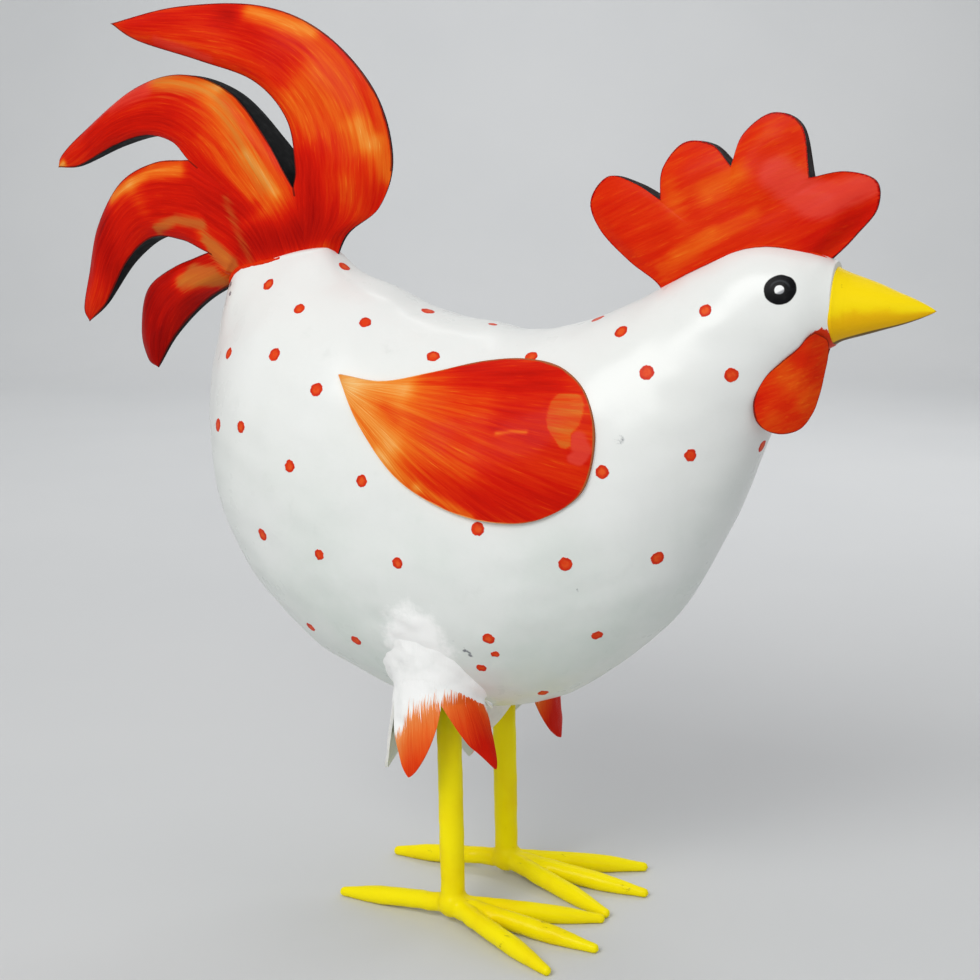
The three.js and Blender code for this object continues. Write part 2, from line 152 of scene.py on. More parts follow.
def stroke_tone(x, z, strokes):
    """The sum of brush strokes: each adds its strength times exp(-(distance / width)^2), where the
    distance is that to its line through drawn points."""
    total = np.zeros(np.shape(x))
    for points, width, strength in strokes:
        line = drawn(points)
        nearest = np.full(np.shape(x), 1e9)
        for start, end in zip(line[:-1], line[1:]):
            way = end - start
            share = ((x - start[0]) * way[0] + (z - start[1]) * way[1]) / (way @ way)
            share = np.clip(share, 0, 1)
            off = np.hypot(x - start[0] - share * way[0], z - start[1] - share * way[1])
            nearest = np.minimum(nearest, off)
        total += strength * np.exp(-(nearest / (width * MM)) ** 2)
    return total


# Meshes

def grid(points, paint=0, **fields):
    """One grid of points, rows by columns, with the number of its paint and a value at each point
    of every named field."""
    fields = {name: np.broadcast_to(value, points.shape[:2]) for name, value in fields.items()}
    return {"points": points, "paint": paint, "fields": fields}


def cells(rows, columns, start=0):
    """The four corners of each cell of a grid whose points are numbered row by row."""
    corner = start + np.arange(rows - 1)[:, None] * columns + np.arange(columns - 1)
    around = [corner, corner + 1, corner + columns + 1, corner + columns]
    return np.stack(around, -1).reshape(-1, 4)


def mirrored(grids):
    """The same grids on the hen's other side: y changes its sign."""
    return [{**one, "points": one["points"] * [1, -1, 1]} for one in grids]


def close_up(mesh):
    """Merges the points that meet and turns every face outwards."""
    shape = bmesh.new()
    shape.from_mesh(mesh)
    bmesh.ops.remove_doubles(shape, verts=shape.verts, dist=2e-6)
    bmesh.ops.dissolve_degenerate(shape, edges=shape.edges, dist=1e-7)
    bmesh.ops.recalc_face_normals(shape, faces=shape.faces)
    shape.to_mesh(mesh)
    shape.free()


def build(name, grids, paints, replaced, crease=40):
    """One piece from grids of points: each cell is a face, and grids are joined where they meet."""
    faces, numbers, start = [], [], 0
    for one in grids:
        rows, columns = one["points"].shape[:2]
        faces.append(cells(rows, columns, start))
        numbers.append(np.full(len(faces[-1]), one["paint"]))
        start += rows * columns
    points = np.concatenate([one["points"].reshape(-1, 3) for one in grids])
    mesh = bpy.data.meshes.new(name)
    mesh.from_pydata(points, [], np.concatenate(faces))
    mesh.polygons.foreach_set("material_index", np.concatenate(numbers).astype(np.int32))
    for field in sorted({key for one in grids for key in one["fields"]}):
        empty = [one["fields"].get(field, np.zeros(one["points"].shape[:2])) for one in grids]
        values = np.concatenate([part.reshape(-1) for part in empty]).astype(np.float32)
        mesh.attributes.new(field, "FLOAT", "POINT").data.foreach_set("value", values)
    close_up(mesh)
    return finish_piece(name, mesh, paints, replaced, crease)


def pair(name, right, left, paints, replaced):
    """A piece on each side of the hen: the left one's grids are given as on the right, and mirrored."""
    build(name + "_right", right, paints, [replaced + "_right"])
    build(name + "_left", mirrored(left), paints, [replaced + "_left"])


def finish_piece(name, mesh, paints, replaced, crease):
    """The object of a mesh, smooth but for its creases, with its paints, riding on the figure."""
    for paint in paints:
        mesh.materials.append(paint)
    mesh.shade_smooth()
    mesh.set_sharp_from_angle(angle=math.radians(crease))
    piece = bpy.data.objects.new(name, mesh)
    bpy.context.scene.collection.objects.link(piece)
    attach(piece, "root")
    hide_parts(*replaced)
    return piece


# Paint

class Socket:
    """A socket of a material's nodes. Sums and products of sockets and numbers add Math nodes."""

    def __init__(self, paint, socket):
        self.paint = paint
        self.socket = socket

    def join(self, operation, *others):
        settings = {"operation": operation}
        return self.paint.node("ShaderNodeMath", settings, dict(enumerate([self, *others])))

    def __add__(self, other):
        return self.join("ADD", other)

    def __mul__(self, other):
        return self.join("MULTIPLY", other)

    def __sub__(self, other):
        return self.join("SUBTRACT", other)

    def __rsub__(self, other):
        return self.paint.node("ShaderNodeMath", {"operation": "SUBTRACT"}, {0: other, 1: self})

    def __truediv__(self, other):
        return self.join("DIVIDE", other)

    __radd__ = __add__
    __rmul__ = __mul__


class Paint:
    """A material under construction, made of nodes around one Principled shader."""

    def __init__(self, name):
        self.material = bpy.data.materials.new(name)
        self.material.use_nodes = True
        self.tree = self.material.node_tree
        self.shader = next(n for n in self.tree.nodes if n.type == "BSDF_PRINCIPLED")
        self.place = self.node("ShaderNodeTexCoord", {}, {}, "Object")

    def node(self, kind, settings, inputs, output=0):
        """Adds a node: its settings first, then the values or links of its sockets."""
        made = self.tree.nodes.new(kind)
        for key, value in settings.items():
            if key == "stops":
                for stop, (position, colour) in enumerate(value):
                    elements = made.color_ramp.elements
                    element = elements[stop] if stop < 2 else elements.new(position)
                    element.position = position
                    element.color = (*colour, 1)
            else:
                setattr(made, key, value)
        for key, value in inputs.items():
            self.fill(made.inputs[key], value)
        return Socket(self, made.outputs[output])

    def fill(self, socket, value):
        """Links a socket, or sets its value. A colour gets its alpha."""
        if isinstance(value, Socket):
            self.tree.links.new(value.socket, socket)
        elif socket.type == "RGBA" and len(value) == 3:
            socket.default_value = (*value, 1)
        else:
            socket.default_value = value

    def noise(self, scale, detail=3, rough=0.5, place=None, twist=0):
        """Noise of a number of waves in a metre."""
        inputs = {"Vector": place or self.place, "Scale": scale, "Detail": detail}
        inputs.update({"Roughness": rough, "Distortion": twist})
        return self.node("ShaderNodeTexNoise", {}, inputs)

    def stretched(self, scale, turn=(0, 0, 0)):
        """The place, turned and then scaled along each direction, for strokes."""
        inputs = {"Vector": self.place, "Rotation": turn, "Scale": scale}
        return self.node("ShaderNodeMapping", {"vector_type": "TEXTURE"}, inputs)

    def field(self, name):
        """A value that the mesh holds at each point."""
        return self.node("ShaderNodeAttribute", {"attribute_name": name}, {}, "Fac")

    def coordinate(self, axis):
        """The place along X, Y or Z."""
        return self.node("ShaderNodeSeparateXYZ", {}, {0: self.place}, axis)

    def together(self, x, y, z=0):
        """A vector from three values."""
        return self.node("ShaderNodeCombineXYZ", {}, {0: x, 1: y, 2: z})

    def step(self, value, low, high, start=0, end=1):
        """A smooth step from start to end between low and high."""
        settings = {"interpolation_type": "SMOOTHSTEP"}
        inputs = {"Value": value, "From Min": low, "From Max": high, "To Min": start, "To Max": end}
        return self.node("ShaderNodeMapRange", settings, inputs)

    def ramp(self, value, stops):
        """The colour of a value, from stops of position and colour."""
        return self.node("ShaderNodeValToRGB", {"stops": stops}, {"Fac": value}, "Color")

    def mix(self, under, over, share):
        """Two colours mixed by a share of the second."""
        return self.node("ShaderNodeMix", {"data_type": "RGBA"}, {0: share, 6: under, 7: over}, 2)

    def finish(self, colour, rough, height, coat=0.02, coat_rough=0.2, depth=1.0, mirror=0.04):
        """Feeds the shader, with a clear gloss and the relief of a height in millimetres."""
        self.fill(self.shader.inputs["Specular IOR Level"], mirror)
        self.fill(self.shader.inputs["Base Color"], colour)
        self.fill(self.shader.inputs["Roughness"], rough)
        self.fill(self.shader.inputs["Coat Weight"], coat)
        self.fill(self.shader.inputs["Coat Roughness"], coat_rough)
        inputs = {"Height": height, "Distance": MM, "Strength": depth}
        self.fill(self.shader.inputs["Normal"], self.node("ShaderNodeBump", {}, inputs))
        return self.material


REDS = [(0.0, (0.15, 0.0012, 0.0008)), (0.2, (0.36, 0.0022, 0.0008)), (0.4, (0.60, 0.008, 0.0012)),
        (0.5, (0.68, 0.026, 0.0018)), (0.6, (0.74, 0.078, 0.004)), (0.7, (0.79, 0.155, 0.010)),
        (0.8, (0.82, 0.26, 0.034)), (0.9, (0.86, 0.41, 0.11)), (1.0, (0.90, 0.62, 0.28))]
# Pink is crimson-pink paint on the tail, and painted reflection on the comb and the wing. Ochre is ochre
# paint on the tail, and part of the wing's painted reflection.
PINK = (0.72, 0.055, 0.035)
OCHRE = (0.46, 0.17, 0.028)
BLACK_PAINT = (0.004, 0.004, 0.005)
# A brighter white for the fresher strokes above the cuffs and for the cuffs: brighter than the body's white
# as painted light
LIT_FRESH_WHITE = (0.96, 0.965, 0.955)
# A thin line along the edges of the red sheets: painted shade, and a painted highlight where the edge catches
# the light
RIM_SHADE = (0.10, 0.006, 0.004)
RIM_HIGHLIGHT = (0.86, 0.40, 0.10)


def white_enamel():
    """White gloss over beaten steel: faint clouds, a greyer green lower down as painted shade, a fresher
    coat above the cuffs painted brighter as painted light, scuffs, the painted dots, the cheek and the
    eyes, each a black disc with a white pupil and a faint arc."""
    paint = Paint("white_enamel")
    forward = paint.coordinate("X")
    upward = paint.coordinate("Z")
    clouds = paint.noise(22, 4, 0.6)
    fine = paint.noise(420, 2)
    # Painted shade: the white turns greyer and greener lower down, where the body's underside is in shade.
    high = paint.step(upward + (clouds - 0.5) * 0.06, 0.10, 0.24)
    white = paint.mix((0.67, 0.73, 0.69), (0.79, 0.805, 0.785), high)
    white = paint.mix(white, (0.81, 0.825, 0.815), paint.step(clouds, 0.35, 0.65, 0, 0.5))
    white = paint.mix(white, (0.52, 0.55, 0.52), paint.step(paint.noise(60, 5, 0.65), 0.6, 0.85, 0, 0.25))
    # Fresher white strokes above the cuffs, painted brighter than the body as painted light
    fresh = paint.step(paint.field("fresh") + (paint.noise(130, 5, 0.65) - 0.5) * 0.9, 0.3, 0.75)
    white = paint.mix(white, LIT_FRESH_WHITE, fresh)
    scuffs = paint.step(paint.field("scuff") * 1.5 * paint.noise(700, 3, 0.6), 0.3, 0.6)
    white = paint.mix(white, (0.20, 0.21, 0.23), scuffs)

    spread = paint.field("dot_distance") * 1000 + (paint.noise(520, 2) - 0.5) * 1.1
    dot = paint.step(spread, 2.95, 2.65)
    dot_colour = paint.mix((0.78, 0.10, 0.018), (0.60, 0.022, 0.006), paint.step(spread, 0.9, 2.4))
    dot_colour = paint.mix(dot_colour, (0.72, 0.045, 0.008), paint.step(paint.noise(300, 3), 0.4, 0.7))
    colour = paint.mix(white, dot_colour, dot)

    cheek = paint.step(paint.field("cheek") + (paint.noise(330, 4, 0.6) - 0.5) * 0.9, 0.42, 0.5)
    colour = paint.mix(colour, (0.66, 0.035, 0.006), cheek)

    eye_x, eye_z = drawn(EYE_CENTRE)
    run = (forward - eye_x) / EYE_RADII[0]
    rise = (upward - eye_z) / EYE_RADII[1]
    ring = (run * run + rise * rise).join("SQRT") + (paint.noise(260, 2) - 0.5) * 0.10
    disc = paint.step(ring, 1.02, 0.96)
    brushed = paint.step(paint.noise(420, 3, 0.6), 0.5, 0.85, 0, 0.15)
    black = paint.mix(BLACK_PAINT, (0.05, 0.053, 0.06), brushed)
    arc = paint.step(ring, 0.50, 0.58) * paint.step(ring, 0.70, 0.60) * paint.step(rise, 0.0, 0.45)
    black = paint.mix(black, (0.04, 0.044, 0.05), arc * 0.7)
    pupil_run = run + 0.03
    pupil = (pupil_run * pupil_run + rise * rise).join("SQRT") + (paint.noise(500, 2) - 0.5) * 0.12
    grey = paint.mix((0.86, 0.87, 0.87), (0.30, 0.31, 0.33), paint.step(rise + run * -0.6, -0.02, -0.22))
    black = paint.mix(black, grey, paint.step(pupil, 0.33, 0.27))
    colour = paint.mix(colour, black, disc)

    height = fine * 0.03 + paint.noise(150, 3) * 0.10 + fresh * 0.12 + dot * 0.14 + disc * 0.22 + cheek * 0.1
    rough = paint.step(paint.noise(90, 3), 0.3, 0.7, 0.26, 0.38)
    gloss = (1 - dot) * (1 - disc) * (1 - cheek) * 0.40 + 0.01
    return paint.finish(colour, rough, height, gloss, coat_rough=0.23, mirror=0.06)


def brushed_reds(name, strokes, contrast=1.0):
    """Red to yellow enamel, laid on in strokes: the tone field picks the colour, and the strokes shift it
    and stand up a little. Ochre and pink lie over it where their fields say; the pink on the comb and
    the wing, and the ochre on the wing, are painted reflections. A thin line follows the edge, from
    dark painted shade to a light painted highlight."""
    paint = Paint(name)
    place = strokes(paint)
    streaks = paint.noise(1, 4, 0.62, place)
    coarse = paint.noise(0.35, 2, 0.5, place)
    hairs = paint.step(paint.noise(2.3, 2, 0.5, place), 0.60, 0.72)
    tone = paint.field("tone") + ((streaks - 0.5) * 0.38 + (coarse - 0.5) * 0.22 + hairs * 0.09) * contrast
    colour = paint.ramp(tone, REDS)
    dull = paint.step(paint.field("dull") + (streaks - 0.5), 0.2, 0.85, 0, 0.6)
    colour = paint.mix(colour, OCHRE, dull)
    # Pink: paint on the tail, and painted reflection on the comb and the wing
    pink = paint.step(paint.field("pink") + (streaks - 0.5) * 0.5, 0.25, 0.7, 0, 0.7)
    colour = paint.mix(colour, PINK, pink)
    # Painted shade and highlight: a thin line along the edge, dark as shade, and light where the light field
    # says
    edge = paint.step(paint.field("rim") * 1000 + (paint.noise(160, 3) - 0.5) * 0.9, 0.75, 0.35)
    colour = paint.mix(colour, paint.mix(RIM_SHADE, RIM_HIGHLIGHT, paint.field("light")), edge * 0.8)
    height = streaks * 0.2 + paint.noise(130, 3) * 0.12
    rough = paint.step(streaks, 0.3, 0.7, 0.36, 0.5)
    return paint.finish(colour, rough, height)


def along_feather(paint):
    """Strokes that follow the feather: fine across it and long along it."""
    return paint.together(paint.field("along") * 34, paint.field("across") * 620)


def across_comb(paint):
    """Strokes that rise to the front of the comb."""
    return paint.stretched((1 / 45, 1 / 200, 1 / 520), (0, math.radians(-24), 0))


def from_wing_tip(paint):
    """Strokes that fan out from the wing's point."""
    return paint.together(paint.field("along") * 30, paint.field("across") * 48)


def dark_edge(name, colour):
    """The unlit thickness of the steel between the coloured sheets, in dull dark paint."""
    paint = Paint(name)
    worn = paint.noise(160, 5, 0.65)
    shade = paint.mix(colour, tuple(3 * c for c in colour), paint.step(worn, 0.5, 0.8))
    rough = paint.step(worn, 0.3, 0.7, 0.6, 0.8)
    return paint.finish(shade, rough, paint.noise(300, 3) * 0.2, coat=0, mirror=0.08)


def yellow_enamel(name, light, deep, grime):
    """Yellow gloss that pools darker in places, with scuffs, more of them near the ground, that let
    the steel through."""
    paint = Paint(name)
    pool = paint.noise(38, 3, 0.55)
    colour = paint.mix(light, deep, paint.step(pool, 0.45, 0.72, 0, 0.75))
    near_ground = paint.step(paint.coordinate("Z"), 0.03, 0.01, 0, 0.045)
    scuffs = paint.noise(1, 6, 0.72, paint.stretched((1 / 70, 1 / 260, 1 / 200))) + near_ground
    colour = paint.mix(colour, (0.10, 0.07, 0.012), paint.step(scuffs, 0.66, 0.76, 0, grime))
    height = paint.noise(110, 3) * 0.12 + paint.noise(600, 2) * 0.04
    height = height - paint.step(scuffs, 0.66, 0.76) * 0.15 * grime
    rough = paint.step(paint.noise(75, 3), 0.3, 0.7, 0.3, 0.44)
    return paint.finish(colour, rough, height, coat=0.1)


def beak_enamel():
    """Warm yellow gloss, deeper along the underside of the beak as painted shade, with a thin dark line of
    painted shadow along its bottom.
    """
    paint = Paint("beak_enamel")
    low = paint.field("under") + (paint.noise(90, 4, 0.6) - 0.5) * 0.5
    # Painted shade: deeper yellow on the underside, and a thin dark line of painted shadow along the bottom
    colour = paint.mix((0.93, 0.69, 0.004), (0.84, 0.47, 0.002), paint.step(low, 0.42, 0.74))
    colour = paint.mix(colour, (0.07, 0.04, 0.006), paint.step(paint.field("under"), 0.945, 0.965, 0, 0.9))
    colour = paint.mix(colour, (0.20, 0.12, 0.008), paint.step(paint.noise(420, 4, 0.6), 0.68, 0.8, 0, 0.5))
    height = paint.noise(140, 3) * 0.18 + paint.noise(600, 2) * 0.03
    rough = paint.step(paint.noise(80, 3), 0.3, 0.7, 0.3, 0.42)
    return paint.finish(colour, rough, height, coat=0.1)


def cuff_enamel():
    """White enamel that runs in streaks into red-orange towards the petals' points. The white is brighter
    than the body's as painted light, and the orange is deeper red on one side and on the far cuff as painted
    shade.
    """
    paint = Paint("cuff_enamel")
    turn = paint.field("turn")
    streaks = paint.noise(1, 4, 0.7, paint.together(turn * 38, paint.field("drop") * 50))
    broad = paint.noise(1, 2, 0.5, paint.together(turn * 9, paint.field("drop") * 20))
    past = (paint.field("drop") - paint.field("start")) * 1000
    white = paint.mix(LIT_FRESH_WHITE, (0.80, 0.82, 0.80), paint.step(paint.noise(160, 4), 0.45, 0.75, 0, 0.4))
    # Painted shade: the red field deepens the orange on one side, and all over the far cuff
    orange = paint.ramp(past * 0.028 + (streaks - 0.5) * 0.6 + paint.field("red") * 0.3,
                        [(0.0, (0.86, 0.30, 0.085)), (0.3, (0.80, 0.145, 0.022)), (0.6, (0.74, 0.055, 0.006)),
                         (0.95, (0.58, 0.010, 0.002))])
    ragged = past + (streaks - 0.5) * 34 + (broad - 0.5) * 18
    colour = paint.mix(white, orange, paint.step(ragged, -1.5, 1.5))
    height = streaks * 0.25 + paint.noise(170, 3) * 0.16
    rough = paint.step(streaks, 0.3, 0.7, 0.36, 0.5)
    return paint.finish(colour, rough, height)


def cuff_inside():
    """The grey-green inside of the petals, thinly painted."""
    paint = Paint("cuff_inside")
    cloud = paint.noise(70, 4, 0.6)
    colour = paint.mix((0.20, 0.22, 0.18), (0.44, 0.48, 0.46), paint.step(cloud, 0.35, 0.65))
    ragged = paint.field("drop") * 1000 + (paint.noise(260, 4, 0.65) - 0.5) * 14
    colour = paint.mix(colour, (0.70, 0.75, 0.77), paint.step(ragged, 17, 22))
    return paint.finish(colour, paint.step(cloud, 0.3, 0.7, 0.4, 0.6), cloud * 0.2)


# The body

RIBS = [
    (-182, 731, -308, 704, 0.18),
    (-155, 709, -321, 648, 0.38),
    (-114, 693, -331, 574, 0.62),
    (-64, 672, -326, 485, 0.82),
    (-20, 661, -283, 374, 0.95),
    (20, 655, -188, 282, 1.0),
    (54, 651, -50, 235, 1.0),
    (94, 655, 87, 250, 0.95),
    (139, 668, 208, 334, 0.8),
    (188, 690, 280, 450, 0.62),
    (243, 723, 320, 554, 0.46),
    (297, 747, 342, 609, 0.38),
    (345, 745, 364, 636, 0.33),
    (384, 730, 384, 648, 0.215),
]
RIB_BACKS = drawn([rib[0:2] for rib in RIBS])
RIB_BELLIES = drawn([rib[2:4] for rib in RIBS])
RIB_WIDTHS = np.array([[rib[4]] for rib in RIBS]) * BODY_WIDTH / 2
BODY_MIDDLE_Z = 180 * MM
TAIL_END_BULGE = 3 * MM
TAIL_SQUARENESS = 0.9
TAIL_SQUARE_RUN = 0.12
FACE_BULGE = 1.0 * MM

# Bumps and dents: a place, a radius in millimetres and a height in millimetres
LUMPS = [(372, 727, 3.2, 0.7), (-300, 690, 3.0, -0.5), (-38, 343, 3.4, 1.2), (-15, 355, 3.0, 1.0),
         (-52, 324, 2.6, 0.9), (-28, 360, 2.4, 0.8), (-4, 337, 3.2, 0.6), (-62, 340, 3.0, 0.6)]

EYE_CENTRE = (340.6, 703.6)
EYE_RADII = (6.2 * MM, 5.7 * MM)

# The painted dots of the right side. The left side's are these, each a little off.
DOTS = [
    (-161, 712), (-238, 693), (-182, 670), (-101, 657), (-270, 618), (-196, 623), (-131, 590), (-230, 544),
    (-156, 510), (-66, 502), (-204, 428), (-121, 418), (-24, 420), (-95, 320), (-163, 322), (-55, 668),
    (18, 655), (-15, 627), (90, 629), (183, 658), (142, 667), (219, 622), (270, 682), (299, 621), (265, 542),
    (186, 525), (65, 463), (152, 431), (233, 436), (171, 349), (68, 345), (71, 326), (52, 307), (100, 273),
    (316, 545), (-330, 440), (-336, 626), (-276, 540),
]
DOT_SHIFT = 13
SMALL_DOTS = {31: 0.75, 32: 0.75, 16: 0.7}
# The red spot of cheek under the beak, and the fresher white above the cuffs, painted brighter than the
# body's white as painted light
CHEEK_PLACE = (379.5, 654)
CHEEK_REACH = 5.4 * MM
FRESH_AND_LIT_PLACE = (-15, 333)
FRESH_AND_LIT_REACH = 18 * MM
# Scuffs on the right side: a place, a radius in millimetres and a strength
SCUFFS = [(200.6, 556.5, 3.4, 0.62), (159.7, 402.2, 0.9, 0.9), (135.5, 283, 0.8, 0.8), (-303, 690, 2.0, 1),
          (-297, 680, 1.4, 1), (40.7, 328.4, 1.6, 0.9), (45.9, 322.7, 1.3, 0.9), (29.9, 339.3, 1.2, 0.8)]


def ribs(u):
    """The middle, the reach from middle to back and the half width of the ribs at u, where u runs
    from 0 at the tail root to 1 at the face."""
    back = catmull(RIB_BACKS, u)
    belly = catmull(RIB_BELLIES, u)
    return (back + belly) / 2, (back - belly) / 2, catmull(RIB_WIDTHS, u)[:, 0]


def squareness(u):
    """The power of the ribs' outline: 2 makes an ellipse, and towards the tail root it is squarer."""
    return 2 + TAIL_SQUARENESS * (1 - smooth_step(u, 0, TAIL_SQUARE_RUN))


def flank(x, z):
    """Half the body's width at places seen from the side: the rib through each is found by halving,
    and along it the width falls off as the p-th root of 1 - a^p."""
    place = np.stack([np.ravel(x), np.ravel(z)], -1)

    def beyond(u):
        middle, reach, _ = ribs(u)
        off = place - middle
        return reach[:, 0] * off[:, 1] > reach[:, 1] * off[:, 0]

    u = halved(beyond, np.zeros(len(place)), np.ones(len(place)), 30)
    middle, reach, half = ribs(u)
    a = ((place - middle) * reach).sum(1) / (reach ** 2).sum(1)
    power = squareness(u)
    return (half * np.clip(1 - np.abs(a) ** power, 0, None) ** (1 / power)).reshape(np.shape(x))


def underside(x, y):
    """The height of the body's underside over places on the ground, by halving."""
    return halved(lambda z: flank(x, z) > np.abs(y), np.zeros(np.shape(x)), np.full(np.shape(x), 450 * SHARE))


def body_grid():
    """Ribs carried from the tail root to the face: in each, the reach goes by cos and the width by sin
    to the power of 2 / squareness, and both ends close in rows whose size falls to 0 while they bulge
    out. The beaten surface is two sizes of unevenness."""
    rows, columns, end_rows = 270, 300, 16
    closing = np.linspace(0, math.pi / 2, end_rows + 1)[1:]
    u = np.concatenate([np.zeros(end_rows), np.linspace(0, 1, rows), np.ones(end_rows)])
    size = np.concatenate([np.cos(closing[::-1]), np.ones(rows), np.cos(closing)])
    tail_push = -np.sin(closing[::-1]) * TAIL_END_BULGE
    push = np.concatenate([tail_push, np.zeros(rows), np.sin(closing) * FACE_BULGE])
    middle, reach, half = ribs(u)
    way = np.gradient(ribs(np.linspace(0, 1, 400))[0], axis=0)[np.clip((u * 399).astype(int), 0, 399)]
    way /= np.linalg.norm(way, axis=1, keepdims=True)
    middle = middle + way * push[:, None]
    turn = np.linspace(0, 2 * math.pi, columns + 1)
    power = (2 / squareness(u))[:, None]
    along = np.sign(np.cos(turn)) * np.abs(np.cos(turn)) ** power
    aside = np.sign(np.sin(turn)) * np.abs(np.sin(turn)) ** power
    aside[:, [0, -1]] = 0
    points = np.zeros((len(u), columns + 1, 3))
    points[..., [0, 2]] = middle[:, None] + (reach * size[:, None])[:, None] * along[..., None]
    points[..., 1] = -(half * size)[:, None] * aside
    core = np.zeros_like(points)
    core[..., [0, 2]] = middle[:, None]
    outwards = points - core
    outwards /= np.maximum(np.linalg.norm(outwards, axis=-1, keepdims=True), 1e-9)
    beaten = unevenness(points, 46 * MM, 3) * 0.55 * MM + unevenness(points, 17 * MM, 4) * 0.16 * MM
    lumps = weld_lumps(points)
    points += outwards * ((beaten * np.clip(size, 0, 1)[:, None]) + lumps)[..., None]
    return points


def round_patch(points, place, radius):
    """1 at a drawn place as seen from the side, and exp(-(distance / radius)^2) around it."""
    x, z = drawn(place)
    off = np.hypot(points[..., 0] - x, points[..., 2] - z)
    return np.exp(-(off / radius) ** 2)


def weld_lumps(points):
    """The low bumps of weld beside the beak, at the tail root and above the cuffs."""
    total = np.zeros(points.shape[:2])
    for x, z, radius, height in LUMPS:
        total += height * MM * round_patch(points, (x, z), radius * MM)
    return total


def dot_places():
    """The middles of all dots on the body's surface, and their sizes."""
    rng = np.random.default_rng(11)
    near = drawn(DOTS)
    far = drawn(np.array(DOTS) + rng.uniform(-DOT_SHIFT, DOT_SHIFT, (len(DOTS), 2)))
    sizes = np.array([SMALL_DOTS.get(number, 1) for number in range(len(DOTS))])
    near = np.insert(near, 1, -flank(near[:, 0], near[:, 1]), axis=1)
    far = np.insert(far, 1, flank(far[:, 0], far[:, 1]), axis=1)
    return np.concatenate([near, far]), np.concatenate([sizes, sizes]) * rng.uniform(0.9, 1.1, len(DOTS) * 2)


def make_body():
    points = body_grid()
    places, sizes = dot_places()
    nearest = np.full(points.shape[:2], FAR_OFF)
    for place, size in zip(places, sizes):
        nearest = np.minimum(nearest, np.linalg.norm(points - place, axis=-1) / size)
    scuff = np.zeros(points.shape[:2])
    for x, z, radius, strength in SCUFFS:
        scuff += np.where(points[..., 1] < 0, strength * round_patch(points, (x, z), radius * MM), 0)
    cheek = round_patch(points, CHEEK_PLACE, CHEEK_REACH)
    fresh = round_patch(points, FRESH_AND_LIT_PLACE, FRESH_AND_LIT_REACH)
    body = grid(points, dot_distance=nearest, scuff=scuff, cheek=cheek, fresh=fresh)
    return build("body_shell", [body], [white_enamel()], ["body"])


# Sheets that stand up in the hen's middle plane

def dome(x, z, edge, middle, thickness):
    """Half the thickness of two domed sheets: it falls from the middle to the outer edge as the
    square of the way out, and the edge's distance is read at each place's angle."""
    outer = drawn(edge)
    centre = drawn(middle)
    ring = catmull(outer, np.linspace(0, 1, 721)[:-1], closed=True) - centre
    angle, radius = np.arctan2(ring[:, 1], ring[:, 0]), np.hypot(ring[:, 0], ring[:, 1])
    away_x, away_z = x - centre[0], z - centre[1]
    reach = np.interp(np.arctan2(away_z, away_x), angle, radius, period=2 * math.pi)
    out = np.clip(np.hypot(away_x, away_z) / reach, 0, 1)
    return EDGE_THICKNESS / 2 + (thickness - EDGE_THICKNESS) / 2 * (1 - out * out)


def upright(x, z, y):
    """Points from places seen from the side and their distance from the middle plane."""
    return np.stack([x, y, z], -1)


def wall(border, half, steps=6):
    """The thickness between two sheets along a border: straight across, from one sheet to the other."""
    across = np.linspace(-1, 1, steps)
    x = np.repeat(border[:, :1], steps, axis=1)
    z = np.repeat(border[:, 1:], steps, axis=1)
    return upright(x, z, half[:, None] * across)


# The tail's feathers, from the outermost down. Their borders run from the gap beside them to their points.
FEATHER_BORDERS = {
    "first_outer": [(-185, 690), (-165, 744), (-122, 777), (-105, 830), (-127, 901), (-190, 964),
                    (-270, 995), (-378, 998), (-473, 983)],
    "first_inner": [(-215, 797), (-213, 820), (-228, 872), (-272, 913), (-345, 937), (-433, 962),
                    (-473, 983)],
    "second_upper": [(-215, 797), (-253, 851), (-304, 902), (-371, 923), (-441, 908), (-520, 859),
                     (-552, 834), (-558, 820)],
    "second_lower": [(-353, 828), (-378, 848), (-417, 856), (-466, 845), (-525, 822), (-558, 820)],
    "third_upper": [(-353, 828), (-408, 825), (-461, 802), (-499, 752), (-517, 695), (-528, 655),
                    (-522, 638)],
    "third_lower": [(-329, 725), (-369, 738), (-414, 740), (-455, 712), (-494, 661), (-522, 638)],
    "fourth_upper": [(-329, 725), (-385, 707), (-428, 679), (-442, 630), (-436, 597), (-423, 587)],
    "fourth_lower": [(-302, 694), (-351, 667), (-395, 627), (-423, 587)],
}
FEATHER_ROOTS = {
    "outer": [(-185, 690), (-165, 744), (-122, 777), (-105, 830)],
    "first_gap": [(-212, 692), (-206, 745), (-215, 797)],
    "second_gap": [(-240, 694), (-272, 770), (-353, 828)],
    "third_gap": [(-262, 690), (-292, 708), (-329, 725)],
    "lower": [(-270, 676), (-284, 684), (-302, 694)],
}
FEATHERS = [
    ("outer", "first_outer", "first_gap", "first_inner"),
    ("first_gap", "second_upper", "second_gap", "second_lower"),
    ("second_gap", "third_upper", "third_gap", "third_lower"),
    ("third_gap", "fourth_upper", "lower", "fourth_lower"),
]
# How far the sheets are pinched together along each free border, at its start, middle and tip
PINCHES = {
    "first_outer": (0.7, 0.7, 0.7), "first_inner": (0, 0.45, 0.7), "second_upper": (0, 0.55, 0.75),
    "second_lower": (0.1, 0.25, 0.6), "third_upper": (0.2, 0.5, 0.7), "third_lower": (0.15, 0.35, 0.85),
    "fourth_upper": (0.3, 0.5, 0.7), "fourth_lower": (0.7, 0.8, 0.8),
}
PINCH_WIDTH = 8 * MM
TAIL_EDGE = [(-245, 660), (-330, 655), (-423, 577), (-535, 634), (-566, 822), (-480, 990), (-300, 1006),
             (-190, 972), (-119, 907), (-98, 822), (-172, 720)]
TAIL_MIDDLE = (-267, 755)
FEATHER_BULGE = 1.6 * MM
ROOT_ROWS = 60
FREE_ROWS = 150
FEATHER_COLUMNS = 44

